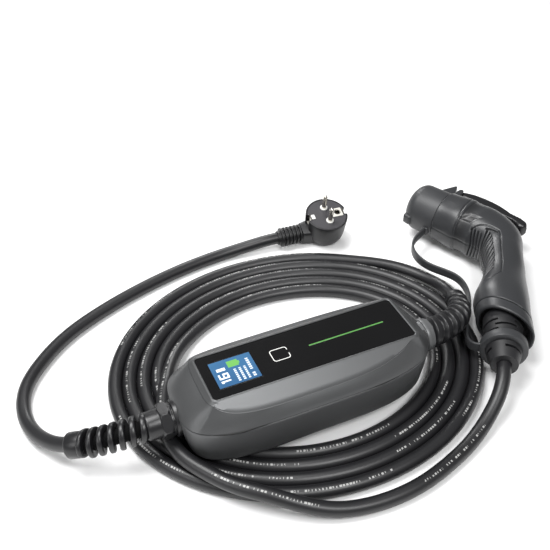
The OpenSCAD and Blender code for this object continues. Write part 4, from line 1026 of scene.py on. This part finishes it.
def makeLid(c):
    edge, outward = roundedFrame(*c["panel"])
    lip = edge + outward * c["rim"]
    ray = unit(lip)
    lipReach = np.linalg.norm(lip, axis=1, keepdims=True)
    crest, near = ovalReach(ray, c["crest"]), lipReach + c["crestRoom"]
    crest = (crest + near + np.sqrt((crest - near) ** 2 + c["crestSoft"])) / 2  # never inside the rim
    outer, bow = ovalReach(ray, boxOutline), ovalReach(ray, c["bow"])
    facing = (ray * outward).sum(axis=1, keepdims=True)
    crestZ = c["top"] - c["slope"] * (crest - lipReach) * facing
    bowZ = c["low"] + c["bowHeight"] * (crestZ - c["low"])
    rows = []
    for t in np.linspace(0, 1, 16):  # barrel: a curve that starts steep and leans in to the crest
        rows.append((ray * quadratic(outer, bow, crest, t), quadratic(c["low"], bowZ, crestZ, t)))
    for t, dent in c["slopeRows"]:
        rows.append((ray * (crest + (lipReach - crest) * t), crestZ + (c["top"] - crestZ) * t - dent))
    flat = np.ones((len(edge), 1))
    for t in np.linspace(0.12, 1, 8):  # bead round the panel
        height = c["top"] + c["bead"] * math.sin(t * c["beadTurn"])
        rows.append((edge + outward * c["rim"] * (1 - t), flat * height))
    rows.append((edge, flat * (c["top"] - c["sill"])))
    grid = np.array([np.concatenate(row, axis=1) for row in rows])
    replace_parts(surface("lidShell", (boxAt + grid) * mm, "upper_shell", sharp=28), "upper_housing")


# lower shell: a flat floor, a rounded edge, then walls that widen up to the parting line
lowerShell = {"high": 37.4, "round": 6.5, "base": [(105.5, 43.4, 3.1), (110.5, 43.4, 4)], "spread": (46, 112),
              "widen": 1.5, "edge": [(0.2, 0.3), (0.7, 0)], "wallTop": 0.7}


def makeLowerShell(c):
    a = around(240)
    a = np.arctan2(np.sin(a) * c["spread"][0], np.cos(a) * c["spread"][1])  # more rays at the two ends
    ray = np.stack([np.cos(a), np.sin(a)], axis=1)
    base, wide = ovalReach(ray, c["base"]), ovalReach(ray, boxOutline)
    rows = []
    for t in np.radians(np.linspace(0, 90, 10)):
        rows.append((base - c["round"] * (1 - math.sin(t)), c["round"] * (1 - math.cos(t))))
    wall = c["high"] - c["wallTop"] - c["round"]
    for t in np.linspace(0.04, 1, 14):
        rows.append((base + (wide - base) * (1 - (1 - t) ** c["widen"]), c["round"] + wall * t))
    rows += [(wide - inset, c["high"] - below) for inset, below in c["edge"]]
    grid = np.array([np.concatenate([ray * reach, np.full((len(ray), 1), z)], axis=1) for reach, z in rows])
    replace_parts(surface("lowerShell", (boxAt + grid) * mm, "lower_shell", sharp=50), "lower_housing")


# picture on the display: u and v in millimetres from its near left corner, the words are plain bars;
# a bar is (middle u, middle v, half u, half v), and dashes are cut out of one along v
displayFace = {
    "low": (-133.6, -82.1, 70.85), "size": (35.2, 28.2), "rough": 0.22, "glow": 0.1,
    "number": [(7.4, 5.8, 4.0, 0.75), (4.6, 4.9, 0.9, 0.8), (7.4, 9.2, 4.0, 0.75), (3.9, 11.3, 0.7, 2.6),
               (11.0, 11.3, 0.7, 2.6), (7.4, 11.3, 0.6, 2.6), (9.2, 13.5, 2.3, 0.75), (7.4, 18.6, 3.6, 1.5)],
    "words": (20.8, 8.6, 6.2, 7.0), "wordDash": (2.1, 1.45), "wordLine": (4.2, 2.0),
    "footer": [(30.6, 16.5, 1.2, 6.4), (30.6, 4.5, 1.2, 2.6)], "footerDash": (2.4, 1.7),
    "cell": [(18.6, 21.8, 4.6, 3.4), (23.7, 21.8, 0.7, 1.4)],
    "dark": srgb(34, 72, 110), "light": srgb(56, 104, 142), "mottle": (60, 0.5), "fade": 0.012,
    "ink": srgb(236, 243, 248), "green": srgb(96, 156, 78), "numberCover": 0.92, "wordCover": 0.66,
}


def litDisplay(c):
    f = Finish("displayPicture")
    u, v = f.uv()

    def bars(rows):  # the largest of their windows
        mask = f.window(u, v, *rows[0])
        for row in rows[1:]:
            mask = mask | f.window(u, v, *row)
        return mask

    def dashed(along, sizes):
        return along % sizes[0] < sizes[1]

    blue = f.mix(f.noise(c["mottle"][0], 2) * c["mottle"][1] + v * c["fade"], c["dark"], c["light"])
    words = dashed(v, c["wordDash"]) * dashed(u, c["wordLine"]) * bars([c["words"]])
    words = words | dashed(v, c["footerDash"]) * bars(c["footer"])
    ink = bars(c["number"]) * c["numberCover"] | words * c["wordCover"]
    glow = f.mix(bars(c["cell"]), f.mix(ink, blue, c["ink"]), c["green"])
    return f.shade(Base_Color=glow, Roughness=c["rough"], Emission_Color=glow, Emission_Strength=c["glow"])


def makeDisplay(c):
    x, y = np.meshgrid(np.linspace(0, c["size"][0], 3), np.linspace(0, c["size"][1], 3))
    grid = (np.stack([x, y, 0 * x], axis=-1) + np.array(c["low"])) * mm
    surface("displayFace", grid, "display", wrap=False, uv=np.stack([x, y], axis=-1), finish=litDisplay(c))


# touch mark: a thin flat band round a rounded square, with a gap
touchMark = {"at": (-76.2, -66.5, 70.85), "size": (7.2, 6.2, 2.2), "stroke": 0.62, "start": 3, "gap": 2,
             "foot": -0.1, "top": 0.06}


def makeTouchMark(c):
    line, outward = (np.roll(v, c["start"], axis=0)[c["gap"]:] for v in
                     roundedFrame(*c["size"], longSide=8, shortSide=6))
    inner, outer = line - outward * c["stroke"] / 2, line + outward * c["stroke"] / 2
    band = np.stack([inner, inner, outer, outer], axis=1)
    z = np.array([c["foot"], c["top"], c["top"], c["foot"]])[None, :, None]
    grid = np.concatenate([band, np.broadcast_to(z, (len(line), 4, 1))], axis=2) + np.array(c["at"])
    surface("touchMark", grid * mm, "white_print")


makeLid(lidShell)
makeLowerShell(lowerShell)
makeDisplay(displayFace)
makeTouchMark(touchMark)
print("control box dressed")

# floor and light
studio = {"floor": srgb(244, 244, 244), "patch": 0.985, "rough": 0.65, "reach": 6, "sky": 0.24}


def makeStudio(c):
    f, r = Finish("paleFloor"), c["reach"]
    f.shade(Base_Color=f.mix(f.noise(3, 2), toned(c["floor"], c["patch"]), c["floor"]), Roughness=c["rough"])
    mesh = bpy.data.meshes.new("floor")
    mesh.from_pydata([(-r, -r, 0), (r, -r, 0), (r, r, 0), (-r, r, 0)], [], [(0, 1, 2, 3)])
    mesh.materials.append(f.material)
    floor = bpy.data.objects.new("floor", mesh)
    bpy.context.scene.collection.objects.link(floor)
    world = bpy.data.worlds.new("studio")
    world.use_nodes = True
    world.node_tree.nodes["Background"].inputs[0].default_value = (1, 1, 1, 1)
    world.node_tree.nodes["Background"].inputs[1].default_value = c["sky"]
    bpy.context.scene.world = world


lamps = {  # place, aim, size and power
    "topSoftbox": ((-0.45, 0.25, 1.5), (0, 0, 0), 0.8, 27),
    "leftSoftbox": ((-1.3, -0.4, 0.9), (0, 0, 0.02), 0.6, 5),
    "slopeSoftbox": ((0.05, -0.8, 1.15), (-0.08, -0.1, 0.05), 0.45, 11),
    "gripStrip": ((0.23, 1.0, 0.59), (0.16, -0.06, 0.04), 0.35, 4.5),
}


def makeLamp(name, place, aim, size, power):  # turned to face its aim
    light = bpy.data.lights.new(name, "AREA")
    light.size, light.energy = size, power
    lamp = bpy.data.objects.new(name, light)
    lamp.location = place
    x, y, z = np.array(place) - np.array(aim)
    lamp.rotation_euler = (math.atan2(math.hypot(x, y), z), 0, math.atan2(x, -y))
    bpy.context.scene.collection.objects.link(lamp)


makeStudio(studio)
for name, values in lamps.items():
    makeLamp(name, *values)
print("studio lit")
